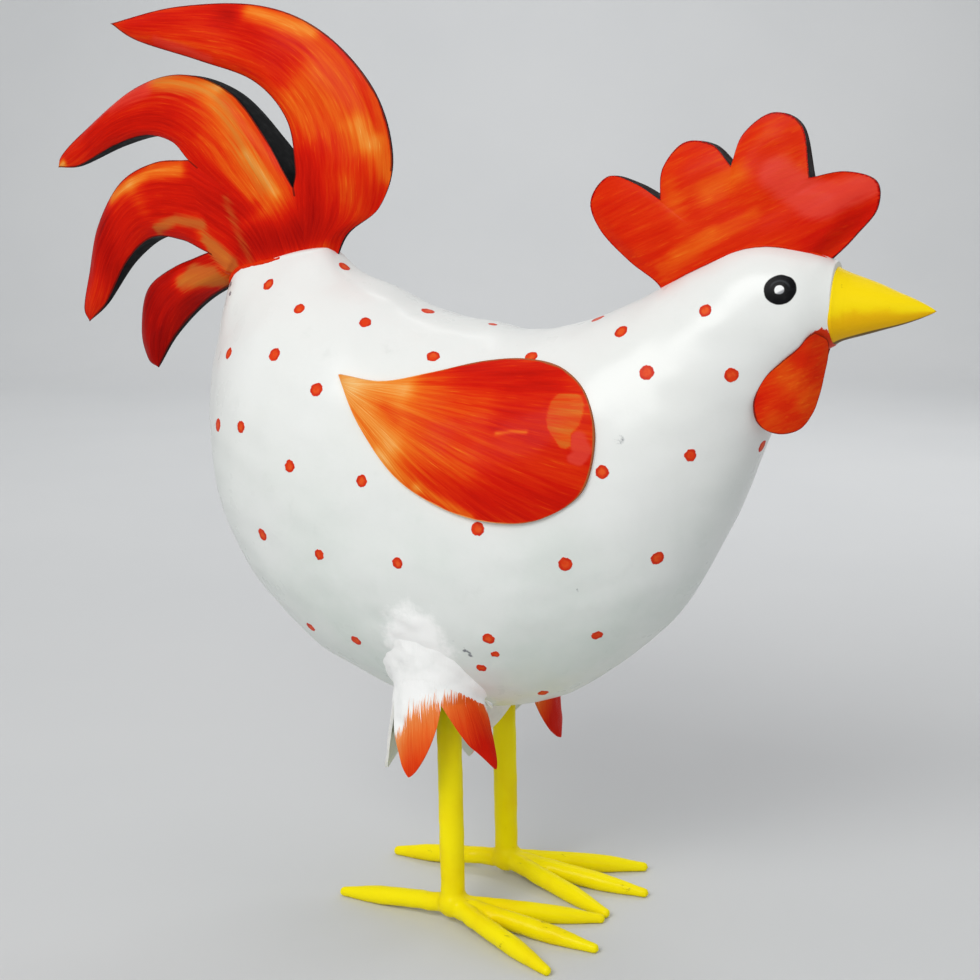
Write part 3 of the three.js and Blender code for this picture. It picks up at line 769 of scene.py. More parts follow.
# Brush strokes on the tail: the line, its width in millimetres and how much lighter or deeper it is
TAIL_STROKES = [
    ([(-280, 987), (-202, 966)], 4.2, 0.25), ([(-312, 986), (-220, 935)], 7, -0.13),
    ([(-442, 983), (-306, 988)], 6, -0.10), ([(-404, 956), (-236, 911)], 3.4, -0.06),
    # Painted highlights: the second stroke on this line and the last stroke on the next line lighten the
    # first feather's right side where it curves.
    ([(-192, 918), (-118, 828)], 12, 0.09), ([(-140, 865), (-131, 844)], 5, 0.22),
    ([(-217, 892), (-189, 860)], 6, 0.10), ([(-118, 849), (-111, 807)], 3, 0.14),
    ([(-200, 826), (-193, 766)], 8, -0.13), ([(-409, 918), (-319, 908)], 3.6, 0.29),
    ([(-315, 894), (-274, 834), (-239, 788)], 9.5, 0.26), ([(-274, 834), (-237, 793)], 3, 0.16),
    ([(-334, 851), (-268, 788)], 3, 0.14), ([(-498, 852), (-380, 876)], 8, -0.09),
    ([(-554, 821), (-548, 825)], 2, 0.40), ([(-470, 786), (-409, 815), (-366, 818)], 4.2, 0.34),
    ([(-486, 755), (-485, 708)], 8, -0.17), ([(-486, 702), (-516, 654)], 6, 0.09),
    ([(-332, 776), (-278, 771)], 7, -0.08), ([(-397, 756), (-339, 765)], 3, 0.12),
    ([(-336, 746), (-304, 719)], 3.4, 0.22), ([(-278, 758), (-252, 769)], 3, 0.10),
    ([(-422, 670), (-422, 602)], 8, -0.10), ([(-365, 692), (-309, 696)], 5, 0.34),
    ([(-285, 706), (-185, 733)], 3.4, 0.16), ([(-270, 735), (-215, 745)], 9, -0.14),
    ([(-440, 800), (-415, 770)], 4, 0.10), ([(-152, 800), (-140, 760)], 6, 0.10),
]
TAIL_PINKS = [([(-465, 891), (-412, 907)], 6, 0.6), ([(-404, 962), (-330, 938)], 4, 0.5)]
TAIL_DULLS = [
    ([(-400, 914), (-319, 908), (-274, 834), (-250, 800)], 6.5, 0.55), ([(-365, 690), (-325, 702)], 4.5, 0.8),
    ([(-350, 704), (-318, 690)], 4, 0.7), ([(-330, 740), (-300, 716)], 3.4, 0.9),
    ([(-320, 728), (-290, 700)], 3.2, 0.8), ([(-400, 750), (-370, 762), (-335, 756)], 3.2, 0.8),
    ([(-302, 785), (-285, 745), (-272, 712)], 3.6, 0.45),
]
RED_TONE = 0.38
FEATHER_TONES = {"first_outer": 0.50, "second_upper": 0.43, "third_upper": 0.37, "fourth_upper": 0.27}


def feather_border(root, free):
    """A feather's border in rows: the stretch it shares with its neighbour, then its own to the tip."""
    if free == "first_outer":
        whole = evenly(drawn(FEATHER_BORDERS[free]), 4 * FREE_ROWS)
        split = np.argmin(np.linalg.norm(whole - drawn(FEATHER_ROOTS["outer"][-1]), axis=1))
        beyond = np.linspace(split, len(whole) - 1, FREE_ROWS + 1)[1:]
        rows = np.concatenate([np.linspace(0, split, ROOT_ROWS), beyond])
        return np.stack([np.interp(rows, np.arange(len(whole)), whole[:, k]) for k in (0, 1)], -1)
    shared = evenly(drawn(FEATHER_ROOTS[root]), ROOT_ROWS)
    own = evenly(drawn(FEATHER_BORDERS[free]), FREE_ROWS + 1)
    return np.concatenate([shared, own[1:]])


def pinch(free):
    """The pinch of a border row by row: nothing along the stretch that two feathers share."""
    own = np.interp(np.linspace(0, 1, FREE_ROWS), [0, 0.5, 1], PINCHES[free])
    alone = free in ("first_outer", "fourth_lower")
    shared = np.full(ROOT_ROWS, own[0]) * (1 if alone else 0)
    return np.concatenate([shared, own if alone else own * smooth_step(np.arange(FREE_ROWS), 0, 25)])


def feather_grids(upper_root, upper_free, lower_root, lower_free):
    """One feather: straight lines from border to border, as two domed sheets that each bulge as
    4n(1 - n) across, with walls along the borders that are free."""
    upper = feather_border(upper_root, upper_free)
    lower = feather_border(lower_root, lower_free)
    n = (1 - np.cos(np.linspace(0, math.pi, FEATHER_COLUMNS))) / 2
    flat = upper[:, None] + (lower - upper)[:, None] * n[None, :, None]
    x, z = flat[..., 0], flat[..., 1]
    width = np.linalg.norm(upper - lower, axis=1)
    out = smooth_step(np.arange(len(upper)), ROOT_ROWS * 0.3, ROOT_ROWS + 30)
    bulge = FEATHER_BULGE * np.clip(width / (34 * MM), 0, 1) * out
    half = dome(x, z, TAIL_EDGE, TAIL_MIDDLE, TAIL_THICKNESS) + bulge[:, None] * 4 * n * (1 - n)
    for free, off in ((upper_free, n), (lower_free, 1 - n)):
        near_edge = np.clip(1 - off * width[:, None] / PINCH_WIDTH, 0, 1) ** 2
        half *= 1 - pinch(free)[:, None] * near_edge
    edge_half = half[:, [0, -1]]
    sheet = upright(x, z, -half)
    dents = unevenness(sheet, 24 * MM, 8) * 0.35 * MM * (4 * n * (1 - n))
    run = np.concatenate([[0], np.cumsum(np.linalg.norm(np.diff((upper + lower) / 2, axis=0), axis=1))])
    tone = RED_TONE + (FEATHER_TONES[upper_free] - RED_TONE) * out[:, None]
    strokes = {
        "tone": tone + stroke_tone(x, z, TAIL_STROKES),
        "pink": stroke_tone(x, z, TAIL_PINKS),
        "dull": stroke_tone(x, z, TAIL_DULLS),
        "along": run[:, None] + 0 * x,
        "across": (n - 0.5) * (np.maximum(width, 12 * MM)[:, None] * 30 * MM) ** 0.5,
        "rim": np.minimum(n, 1 - n) * width[:, None] + np.where(out < 0.5, FAR_OFF, 0)[:, None],
    }
    near = upright(x, z, -(half + dents))
    far = upright(x, z, half + dents)
    grids = [grid(near, **strokes), grid(far, **strokes), grid(wall(flat[0], half[0]), 1)]
    for border, free, side in ((upper, upper_free, 0), (lower, lower_free, 1)):
        start = 0 if free in ("first_outer", "fourth_lower") else ROOT_ROWS - 1
        grids.append(grid(wall(border[start:], edge_half[start:, side]), 1, rim=FAR_OFF))
    return grids


def tube(places, radii, aside, sides):
    """A ring of each radius carried along places: it is cos and sin times two directions that are
    square to the way, of which the first is also square to a given one."""
    way = np.gradient(places, axis=0)
    way /= np.linalg.norm(way, axis=1, keepdims=True)
    side = np.cross(way, aside)
    side /= np.linalg.norm(side, axis=1, keepdims=True)
    other = np.cross(way, side)
    turn = np.linspace(0, 2 * math.pi, sides + 1)
    ring = np.cos(turn)[None, :, None] * side[:, None] + np.sin(turn)[None, :, None] * other[:, None]
    return places[:, None] + radii[:, None, None] * ring


def weld_bead(places, radius, seed, tone):
    """A bead of weld: a tube whose radius swells and shrinks at random, and which closes to a point
    at both ends."""
    count = len(places)
    swell = 1 + 0.14 * unevenness(places, 5 * MM, seed) + 0.1 * unevenness(places, 2.4 * MM, seed + 1)
    size = radius * swell * np.clip(np.minimum(np.arange(count), np.arange(count)[::-1]) / 3, 0, 1) ** 0.5
    return grid(tube(places, size, [0.31, 0.9, 0.29], 12), tone=tone, rim=FAR_OFF)


def tail_bead(sign):
    """The line where the tail's sheet meets the body: across each rib's way, the rib at which the
    body grows as wide as the sheet is found by halving."""
    a = np.linspace(0.95, -0.95, 70)

    def spot(u):
        middle, reach, half = ribs(u)
        place = middle + reach * a[:, None]
        return place, half, dome(place[:, 0], place[:, 1], TAIL_EDGE, TAIL_MIDDLE, TAIL_THICKNESS)

    def wide(u):
        _, half, sheet = spot(u)
        power = squareness(u)
        return half * (1 - np.abs(a) ** power) ** (1 / power) > sheet

    place, _, sheet = spot(halved(wide, np.zeros(len(a)), np.full(len(a), 0.35)))
    return upright(place[:, 0], place[:, 1], -sign * sheet)


def make_tail():
    grids = [one for feather in FEATHERS for one in feather_grids(*feather)]
    for sign, seed in ((RIGHT, 31), (LEFT, 35)):
        grids.append(weld_bead(tail_bead(sign), 1.1 * MM, seed, RED_TONE + 0.12))
    paints = [brushed_reds("tail_enamel", along_feather), dark_edge("tail_edge", (0.005, 0.0055, 0.0065))]
    return build("tail_feathers", grids, paints, ["tail"], crease=50)


# The comb

COMB_STRETCHES = [
    [(215, 680), (204, 703), (172, 725), (139, 755), (127, 785), (146, 810), (177, 803), (206, 787)],
    [(206, 787), (206, 818), (226, 843), (256, 841), (278, 820)],
    [(278, 820), (288, 851), (316, 871), (345, 858), (356, 809)],
    [(356, 809), (388, 815), (418, 806), (420, 780), (402, 756), (382, 735), (340, 700)],
    [(340, 700), (270, 690), (215, 680)],
]
COMB_EDGE = [(205, 670), (119, 772), (144, 822), (235, 856), (317, 883), (371, 854), (433, 802), (400, 735),
             (340, 670)]
COMB_MIDDLE = (277, 735)
COMB_BULGE = 1.0 * MM
# How far forward the comb's border is pinched, from not at all to fully, and by how much
COMB_FRONT = (352, 396)
COMB_PINCH = 0.7
COMB_STROKES = [
    ([(210, 719), (304, 773)], 3.6, 0.10), ([(256, 795), (287, 812)], 5, 0.14),
    ([(225, 735), (262, 757)], 3.2, 0.08), ([(364, 747), (411, 776)], 8, -0.10),
    ([(146, 782), (169, 743)], 7, -0.03), ([(314, 853), (336, 819)], 7, 0.03),
    ([(216, 800), (228, 770)], 4.5, 0.08),
]
# Pink painted reflections on the comb's gloss
COMB_PINK_REFLECTIONS = [([(325, 812), (358, 788)], 8.5, 0.85), ([(377, 788), (412, 803)], 6, 0.8)]
COMB_TONE = 0.49


def lobes():
    """The comb's border, and how far each of its points lies along its lobe."""
    parts, share = [], []
    for stretch in COMB_STRETCHES:
        count = 96 if stretch is not COMB_STRETCHES[-1] else 50
        parts.append(evenly(drawn(stretch), count + 1)[:-1])
        share.append(np.arange(count) / count)
    border = np.concatenate(parts)
    share = np.concatenate(share)
    return np.vstack([border, border[:1]]), np.append(share, 0)


def make_comb():
    """Two domed sheets from the comb's middle out to its border. Each lobe puffs up as sin^2 along its
    border, and the front is pinched."""
    border, share = lobes()
    centre = drawn(COMB_MIDDLE)
    r = np.linspace(0, 1, 56)[:, None]
    flat = centre + r[..., None] * (border - centre)
    x, z = flat[..., 0], flat[..., 1]
    puff = COMB_BULGE * np.sin(math.pi * share) ** 2 * smooth_step(r, 0.3, 0.8)
    puff = puff * (1 - smooth_step(r, 0.82, 1.0))
    half = dome(x, z, COMB_EDGE, COMB_MIDDLE, COMB_THICKNESS) + puff
    front = smooth_step((border[:, 0] - MIDDLE_X) / SHARE, *COMB_FRONT)
    half *= 1 - COMB_PINCH * smooth_step(r, 0.72, 1.0) * front
    dents = unevenness(upright(x, z, -half), 18 * MM, 14) * 0.3 * MM * (1 - r ** 6)
    reach = np.linalg.norm(border - centre, axis=1)
    strokes = {
        "tone": COMB_TONE + stroke_tone(x, z, COMB_STROKES),
        "pink": stroke_tone(x, z, COMB_PINK_REFLECTIONS),
        "rim": (1 - r) * reach,
    }
    grids = [grid(upright(x, z, -(half + dents)), **strokes), grid(upright(x, z, half + dents), **strokes)]
    grids.append(grid(wall(border, half[-1]), 1, rim=FAR_OFF))
    for sign, seed in ((RIGHT, 41), (LEFT, 45)):
        grids.append(weld_bead(comb_bead(sign), 0.5 * MM, seed, COMB_TONE))
    paints = [brushed_reds("comb_enamel", across_comb, 0.6), dark_edge("comb_edge", (0.011, 0.003, 0.003))]
    return build("comb_lobes", grids, paints, ["comb"], crease=50)


def comb_bead(sign):
    """The line where the comb's sheet meets the head: on the rib at u, at the share a of its reach
    at which the body is as wide as the sheet."""
    u = np.linspace(0.735, 0.985, 90)
    middle, reach, half = ribs(u)
    a = np.full(len(u), 0.9)
    for _ in range(12):
        place = middle + reach * a[:, None]
        sheet = dome(place[:, 0], place[:, 1], COMB_EDGE, COMB_MIDDLE, COMB_THICKNESS)
        a = np.sqrt(np.clip(1 - (sheet / half) ** 2, 0.02, 1))
    return upright(place[:, 0], place[:, 1], -sign * sheet)


# The wings

WING_OUTLINE = [(-108, 607), (-60, 602), (-10, 612), (40, 624), (90, 628), (133, 620), (163, 597),
                (177, 555), (168, 505), (130, 477), (85, 471), (30, 481), (-25, 508), (-72, 556), (-108, 607)]
WING_MIDDLE = (60, 555)
WING_TIP = (-112, 600)
WING_STROKES = [
    ([(-100, 603), (-31, 598)], 5.5, 0.22), ([(-88, 586), (-34, 540)], 6.5, 0.17),
    ([(-48, 530), (-1, 501)], 3.0, 0.18), ([(-1, 501), (59, 476)], 2.0, 0.17),
    ([(-90, 592), (-45, 560)], 20, 0.16), ([(-25, 587), (61, 586)], 7.5, 0.10),
    ([(-22, 542), (54, 531)], 8, 0.09), ([(33, 609), (123, 605)], 8, -0.10),
    ([(85, 568), (128, 560)], 6, -0.07), ([(77, 498), (148, 492)], 9, -0.08),
    ([(82, 560), (97, 562), (111, 562)], 0.9, 0.24), ([(-46, 578), (-32, 566)], 3, -0.07),
]
# A painted reflection of a window near the front of the wing: a lighter area with a crisp edge, and the pink
# below it
WING_WINDOW_REFLECTION = [
    ([(140, 589), (152, 589)], 5.4, 1), ([(139, 573), (153, 573)], 4.2, 1),
    ([(144, 563), (150, 553)], 3.2, 1),
]
WING_PINK_REFLECTIONS = [([(162, 556), (168, 545)], 3.4, 1.1), ([(158, 538), (165, 536)], 2.2, 0.8)]
# The direction from the wing's middle in which its rim is lightest, a painted highlight; elsewhere the rim is
# a painted shadow line under its lip
WING_LIGHT = math.radians(215)
WING_TONE = 0.47


def wing_grids():
    """A domed sheet on the flank: each place lies a lift above the body, and the lift falls off as
    the square of the way out. The rim is rounded down to the body."""
    edge = evenly(drawn(WING_OUTLINE), 360)
    centre = drawn(WING_MIDDLE)
    out = np.concatenate([np.linspace(0, 1, 70), np.full(4, 1.0), np.linspace(1, 0, 8)])[:, None]
    dome_lift = EDGE_THICKNESS + (WING_RELIEF - EDGE_THICKNESS) * (1 - out * out)
    rim = np.concatenate([np.ones(70), [0.8, 0.45, 0.1, -0.2], np.full(8, -0.2)])[:, None]
    lift = np.where(rim < 1, rim * EDGE_THICKNESS, dome_lift)
    flat = centre + out[..., None] * (edge - centre)
    x, z = flat[..., 0], flat[..., 1]
    y = flank(x, z) + lift
    dents = unevenness(upright(x, z, -y), 20 * MM, 21) * 0.3 * MM * (1 - out ** 4) * (rim > 0)
    tip = drawn(WING_TIP)
    away, angle = np.hypot(x - tip[0], z - tip[1]), np.arctan2(z - tip[1], x - tip[0])
    window_reflection = smooth_step(stroke_tone(x, z, WING_WINDOW_REFLECTION), 0.5, 0.62)
    about = np.arctan2(edge[:, 1] - centre[1], edge[:, 0] - centre[0])
    fields = {
        # Painted reflection of a window: the tone lightens and ochre lies over it, and the pink beside it is
        # painted reflection too
        "tone": WING_TONE + stroke_tone(x, z, WING_STROKES) + 0.12 * window_reflection,
        "pink": stroke_tone(x, z, WING_PINK_REFLECTIONS) * (1 - window_reflection),
        "dull": 0.42 * window_reflection,
        "light": 0.3 + 0.7 * smooth_step(np.cos(about - WING_LIGHT), -0.1, 0.5),
        "along": away,
        "across": angle,
        "rim": (1 - out) * np.linalg.norm(edge - centre, axis=1) + 0.2 * MM,
    }
    return [grid(upright(x, z, -(y + dents)), **fields)]


def make_wings():
    reds = brushed_reds("wing_enamel", from_wing_tip)
    grids = wing_grids()
    pair("wing_shell", grids, grids, [reds], "wing")


# The beak and the wattles

BEAK_DROP = 0.02
BEAK_FULLNESS = 0.82
BEAK_FLARE = 0.7 * MM


def make_beak():
    """Ellipses along the beak that shrink as a power of the way left, flare at the base and drop a
    little towards the point."""
    t = np.concatenate([[-0.10, -0.10, -0.05], 1 - np.cos(np.linspace(0, math.pi / 2, 70))])[:, None]
    t = np.clip(t, None, 1)
    taper = np.clip(1 - np.clip(t, 0, 1), 0, 1) ** BEAK_FULLNESS
    taper[0] = 0
    taper[1] = 0.8
    turn = np.linspace(0, 2 * math.pi, 97)
    flare = BEAK_FLARE * np.exp(-np.clip(t, 0, 1) * BEAK_LENGTH / (1.6 * MM)) * (taper > 0.9)
    base = drawn(BEAK_BASE)
    ripple = 1 + 0.018 * np.sin(3 * turn + 1 + 5 * t)
    across = (BEAK_WIDTH / 2 * taper + flare) * ripple
    up = (BEAK_HEIGHT / 2 * taper + flare) * ripple
    x = base[0] + BEAK_LENGTH * t + 0 * turn
    z = base[1] - BEAK_DROP * BEAK_LENGTH * t ** 2 + up * np.cos(turn)
    points = upright(x, z, -across * np.sin(turn))
    points += grid_normals(points) * (unevenness(points, 14 * MM, 51) * 0.18 * MM * taper)[..., None]
    under = 0.5 - 0.5 * np.cos(turn) + 0 * t
    return build("beak_cone", [grid(points, under=under)], [beak_enamel()], ["beak"])


# The wattle's outline in shares of its width, backwards, and of its height, down
WATTLE_OUTLINE = [(0.14, 0), (0.0, 0.08), (0.02, 0.24), (0.08, 0.42), (0.14, 0.62), (0.22, 0.80),
                  (0.37, 0.95), (0.59, 1.0), (0.80, 0.965), (0.93, 0.87), (0.975, 0.72), (0.935, 0.57),
                  (0.81, 0.42), (0.61, 0.29), (0.39, 0.16), (0.25, 0.05), (0.14, 0)]
WATTLE_ANCHOR = (381, 663)
WATTLE_SPREAD = 11 * MM
WATTLE_GAP = 2.3 * MM
WATTLE_MEET = 0.6
WATTLE_MIDDLE = (0.5, 0.6)
WATTLE_OPENING = math.radians(33)
LEFT_WATTLE_SET = 3 * MM


def wattle_grids(set_back):
    """A domed teardrop that hangs from the cheek and slants back along the throat."""
    anchor = drawn(WATTLE_ANCHOR)
    edge = evenly(WATTLE_OUTLINE, 220)
    middle = np.array(WATTLE_MIDDLE)
    out = np.concatenate([np.linspace(0, 1, 40), np.full(3, 1.0), np.linspace(1, 0, 12)])[:, None]
    rim = np.concatenate([np.ones(40), [0.75, 0.5, 0.25], np.zeros(12)])[:, None]
    flat = middle + out[..., None] * (edge - middle)
    back = flat[..., 0] * WATTLE_WIDTH
    dome_lift = EDGE_THICKNESS + (WATTLE_RELIEF - EDGE_THICKNESS) * (1 - out * out)
    lift = np.where(rim < 1, rim * EDGE_THICKNESS, dome_lift)
    lean = WATTLE_SPREAD * np.clip(1 - flat[..., 1] / WATTLE_MEET, 0, None) ** 2 + WATTLE_GAP / 2
    x = anchor[0] - set_back - back * math.cos(WATTLE_OPENING) + lift * math.sin(WATTLE_OPENING)
    y = -lean - back * math.sin(WATTLE_OPENING) - lift * math.cos(WATTLE_OPENING)
    z = anchor[1] - flat[..., 1] * WATTLE_HEIGHT
    points = np.stack([x, y, z], -1)
    tone = COMB_TONE + 0.03 + 0.04 * unevenness(points, 15 * MM, 61)
    return [grid(points, tone=tone, rim=(1 - out) * 16 * MM + 0.3 * MM)]


def make_wattles(reds):
    pair("wattle_drop", wattle_grids(0), wattle_grids(LEFT_WATTLE_SET), [reds], "wattle")


# The cuffs around the legs

# The petals of each cuff: the direction each points to in degrees, its length, how far its point stands out,
# how far below the notches its paint begins, and the power of its outline, where less is fuller
PETALS = {
    RIGHT: [(-104, 31, 6.5, 3, 0.85), (-21, 28, 10, -8, 1.1), (26, 8, 4, 20, 0.85), (95, 37, 3, 20, 0.85),
            (187, 37, 8, 60, 0.85)],
    LEFT: [(-103, 33, 4, -3, 0.85), (4, 34, 8, -12, 0.85), (88, 29, 3, 60, 0.85),
           (187, 35, 0.5, -2, 0.85)],
}
# The direction in which the paint is painted deepest red, as painted shade
PAINTED_SHADE_TURN = 342
CUFF_SEEDS = {RIGHT: 71, LEFT: 81}
CUFF_SET = {RIGHT: -3.8 * MM, LEFT: 4.5 * MM}
CUFF_TOP = 372
CUFF_NOTCH = 262
CUFF_NECK = 0.80
CUFF_WAIST = 0.90
PETAL_RUN = 30 * MM
PETAL_TIP = 1.3
WELD_REACH = (2.5 * MM, 19 * MM)
WELD_DOWN = (2 * MM, 12 * MM)
WELD_SIDE = -92
WELD_NARROWNESS = 2.6


def petal_drop(petals, turn):
    """How far the edge hangs below the notches: the petal's length times a power of 1 - the way from
    its middle to its edge, halfway to the next petal, itself raised to a power."""
    away = np.stack([np.abs((turn - petal[0] + 180) % 360 - 180) for petal in petals])
    order = np.argsort(away, axis=0)
    own = np.take_along_axis(away, order[:1], 0)[0]
    other = np.take_along_axis(away, order[1:2], 0)[0]
    length = np.array([petal[1] for petal in petals])[order[0]] * MM
    fullness = np.array([petal[4] for petal in petals])[order[0]]
    return length * (1 - (own / ((own + other) / 2)) ** PETAL_TIP) ** fullness


def cuff_ring(side, turn, z, inset=0.0):
    """The cuff's sheet in each direction at each height: a cone down to the notches, set a little
    forwards or back there, and below them every petal stands out by its own share."""
    top, notch = CUFF_TOP * SHARE, CUFF_NOTCH * SHARE
    shoulder = np.clip((top - z) / (top - notch), 0, 1)
    below = np.clip(notch - z, 0, None) / PETAL_RUN
    angles, _, flares, _, _ = zip(*PETALS[side])
    flare = np.interp(turn, angles, flares, period=360) * MM
    radius = CUFF_WIDTH / 2 * (CUFF_NECK + (CUFF_WAIST - CUFF_NECK) * shoulder) + flare * below - inset
    x = radius * np.cos(np.radians(turn)) + CUFF_SET[side] * shoulder * np.clip(1 - below, 0, 1)
    y = radius * np.sin(np.radians(turn))
    return np.stack([x * math.cos(LEG_LEAN) - z * math.sin(LEG_LEAN) + MIDDLE_X, y + LEG_Y,
                     x * math.sin(LEG_LEAN) + z * math.cos(LEG_LEAN)], -1)


def cuff_grids(side):
    """The tube around the leg, open below and cut into petals. Above, its outside runs out over the
    body in a curve of the second degree, and closes inside the body."""
    turn = np.linspace(0, 360, 289)
    seed = CUFF_SEEDS[side]
    edge_z = CUFF_NOTCH * SHARE - petal_drop(PETALS[side], turn)
    top_z = np.full(len(turn), CUFF_TOP * SHARE)

    def in_body(z):
        places = cuff_ring(side, turn, z)
        return flank(places[:, 0], places[:, 2]) > np.abs(places[:, 1])

    meet_z = halved(in_body, edge_z, top_z)
    strong = (0.5 + 0.5 * np.cos(np.radians(turn - WELD_SIDE))) ** WELD_NARROWNESS
    weld_down = WELD_DOWN[0] + (WELD_DOWN[1] - WELD_DOWN[0]) * strong
    start_z = meet_z - np.minimum(weld_down, 0.55 * (meet_z - edge_z))
    weld = weld_curve(cuff_ring(side, turn, meet_z), cuff_ring(side, turn, start_z), turn, strong, seed)
    way = np.linspace(0, 1, 46)[:, None]
    outside_z = start_z + (edge_z - start_z) * way
    outside = cuff_ring(side, turn, outside_z)
    beaten = unevenness(outside, 12 * MM, seed) * 0.25 * MM * smooth_step(way, 0, 0.25)
    outside = outside + grid_normals(outside) * beaten[..., None]
    inside_z = top_z + (edge_z - top_z) * way
    inside = cuff_ring(side, turn, inside_z, CUFF_SHEET)
    edge = outside[-1] + (inside[-1] - outside[-1]) * np.linspace(0, 1, 3)[:, None, None]
    core = weld[0] + (cuff_ring(side, turn, meet_z, 8 * MM) - weld[0]) * 0.6 + [0, 0, 4 * MM]
    notch = CUFF_NOTCH * SHARE
    angles, _, _, starts, _ = zip(*PETALS[side])
    paint = {
        "turn": np.radians(turn),
        "start": np.interp(turn, angles, starts, period=360) * MM,
        # Painted shade: deeper red towards one side, and all over the far cuff
        "red": np.exp(-((turn - PAINTED_SHADE_TURN) / 40) ** 2) + (0.6 if side == LEFT else 0),
    }
    return [
        grid(np.concatenate([inside[:1], core[None], weld]), drop=-60 * MM, **paint),
        grid(outside, drop=notch - outside_z, **paint),
        grid(edge, drop=notch - edge_z, **paint),
        grid(inside, 1, drop=notch - inside_z, **paint),
    ]


def weld_curve(meet, start, turn, strong, seed):
    """The weld between body and cuff, in rows from a place under the body's surface, past the line
    where both meet, down to the cuff. It reaches out furthest where it is strong, and carries lumps."""
    out = np.stack([np.cos(np.radians(turn)), np.sin(np.radians(turn))], -1)
    reach = WELD_REACH[0] + (WELD_REACH[1] - WELD_REACH[0]) * strong

    def on_body(step):
        spot = meet[:, :2] + out * step[:, None]
        return np.column_stack([spot, underside(spot[:, 0], spot[:, 1])])

    step = halved(lambda far: np.linalg.norm(on_body(far) - meet, axis=1) > reach,
                  np.zeros(len(turn)), reach, 9)
    end = on_body(step)
    inwards = np.array([MIDDLE_X, 0, BODY_MIDDLE_Z]) - end
    end = end + inwards / np.linalg.norm(inwards, axis=1, keepdims=True) * 1.0 * MM
    t = np.linspace(0, 1, 26)[:, None, None]
    curve = (1 - t) ** 2 * end + 2 * t * (1 - t) * meet + t * t * start
    normal = grid_normals(curve)
    facing = np.sign((normal[..., :2] * out).sum(-1).mean())
    lumps = 0.35 + 0.35 * unevenness(curve, 12 * MM, seed + 3) + 0.1 * unevenness(curve, 5 * MM, seed + 4)
    lumps = np.clip(lumps, 0, None) * MM * np.sin(math.pi * t[..., 0]) * np.sqrt(strong)
    return curve + facing * normal * lumps[..., None]


def make_cuffs():
    paints = [cuff_enamel(), cuff_inside()]
    pair("cuff_petals", cuff_grids(RIGHT), cuff_grids(LEFT), paints, "thigh")


# The legs and feet

TOE_SPREAD = math.radians(25.5)
TOES = [(0, 71 * MM), (TOE_SPREAD, 68 * MM), (-TOE_SPREAD, 68 * MM), (math.pi, 60 * MM)]
HUB_HEIGHT = TOE_TIP_DIAMETER / 2 - TOE_FLAT + TOE_RISE
WELD_VOXEL = 0.8 * MM
LEG_FOOT = 3 * MM
TOE_PAINT = 0.25 * MM
TOE_TIP_SHARE = 0.8


def rod(places, radii):
    """A round rod, closed where its radius is 0."""
    return grid(tube(places, radii, [0.0, 1.0, 0.02], 32))


def toe_rod(turn, length):
    """A toe: it slopes from the hub down to its tip, keeps its width for most of its length, tapers to
    a blunt point and wanders a little from the straight."""
    s = np.linspace(0, 1, 60)
    tip, root = TOE_TIP_DIAMETER / 2 * TOE_TIP_SHARE, TOE_DIAMETER / 2 + TOE_PAINT
    radius = root + (tip - root) * smooth_step(s, 0.62, 1.05)
    end = np.clip((1 - s) * length / tip, 0, 1)
    radius = radius * np.sqrt(np.clip(1 - (1 - end) ** 2.2, 0, 1))
    radius[0] = 0
    heading = turn - TOE_OUT
    wander = 0.4 * MM * np.sin(3.1 * s + 5 * turn)
    x = s * length * math.cos(heading) - wander * math.sin(heading)
    y = s * length * math.sin(heading) + wander * math.cos(heading)
    z = HUB_HEIGHT - TOE_RISE * s + 0.2 * MM * np.sin(5 * s + 2 * turn)
    return rod(np.stack([x, y, z], -1), radius)


def leg_rod():
    """The leg: a straight rod that leans back, closed at the hub and inside the body."""
    s = np.linspace(0, 1, 80)
    z = LEG_FOOT + (CUFF_TOP * SHARE * 0.8 - LEG_FOOT) * s
    places = np.stack([-z * math.sin(LEG_LEAN), 0 * z, z], -1)
    radius = np.full(80, LEG_DIAMETER / 2) + unevenness(places, 30 * MM, 91) * 0.08 * MM
    radius[[0, -1]] = 0
    return rod(places, radius)


def hub_blob():
    """The weld that gathers the toes under the leg: a squashed ball."""
    s = np.linspace(0, math.pi, 24)
    places = np.stack([0 * s, 0 * s, HUB_HEIGHT + 0.8 * MM - 6.6 * MM * np.cos(s)], -1)
    return rod(places, np.sin(s) * 7.2 * MM)


def fused(name, grids):
    """One skin around overlapping rods: they are remeshed in small cubes and smoothed."""
    raw = build(name + "_rods", grids, [], [])
    skin = raw.modifiers.new("skin", "REMESH")
    skin.mode = "VOXEL"
    skin.voxel_size = WELD_VOXEL
    soften = raw.modifiers.new("soften", "SMOOTH")
    soften.factor = 0.5
    soften.iterations = 4
    graph = bpy.context.evaluated_depsgraph_get()
    mesh = bpy.data.meshes.new_from_object(raw.evaluated_get(graph))
    bpy.data.objects.remove(raw)
    mesh.name = name
    return mesh


def read_out(mesh, what):
    """The places or normals of a mesh's points, one row each."""
    flat = np.zeros(len(mesh.vertices) * 3, np.float32)
    mesh.vertices.foreach_get(what, flat)
    return flat.reshape(-1, 3).astype(float)


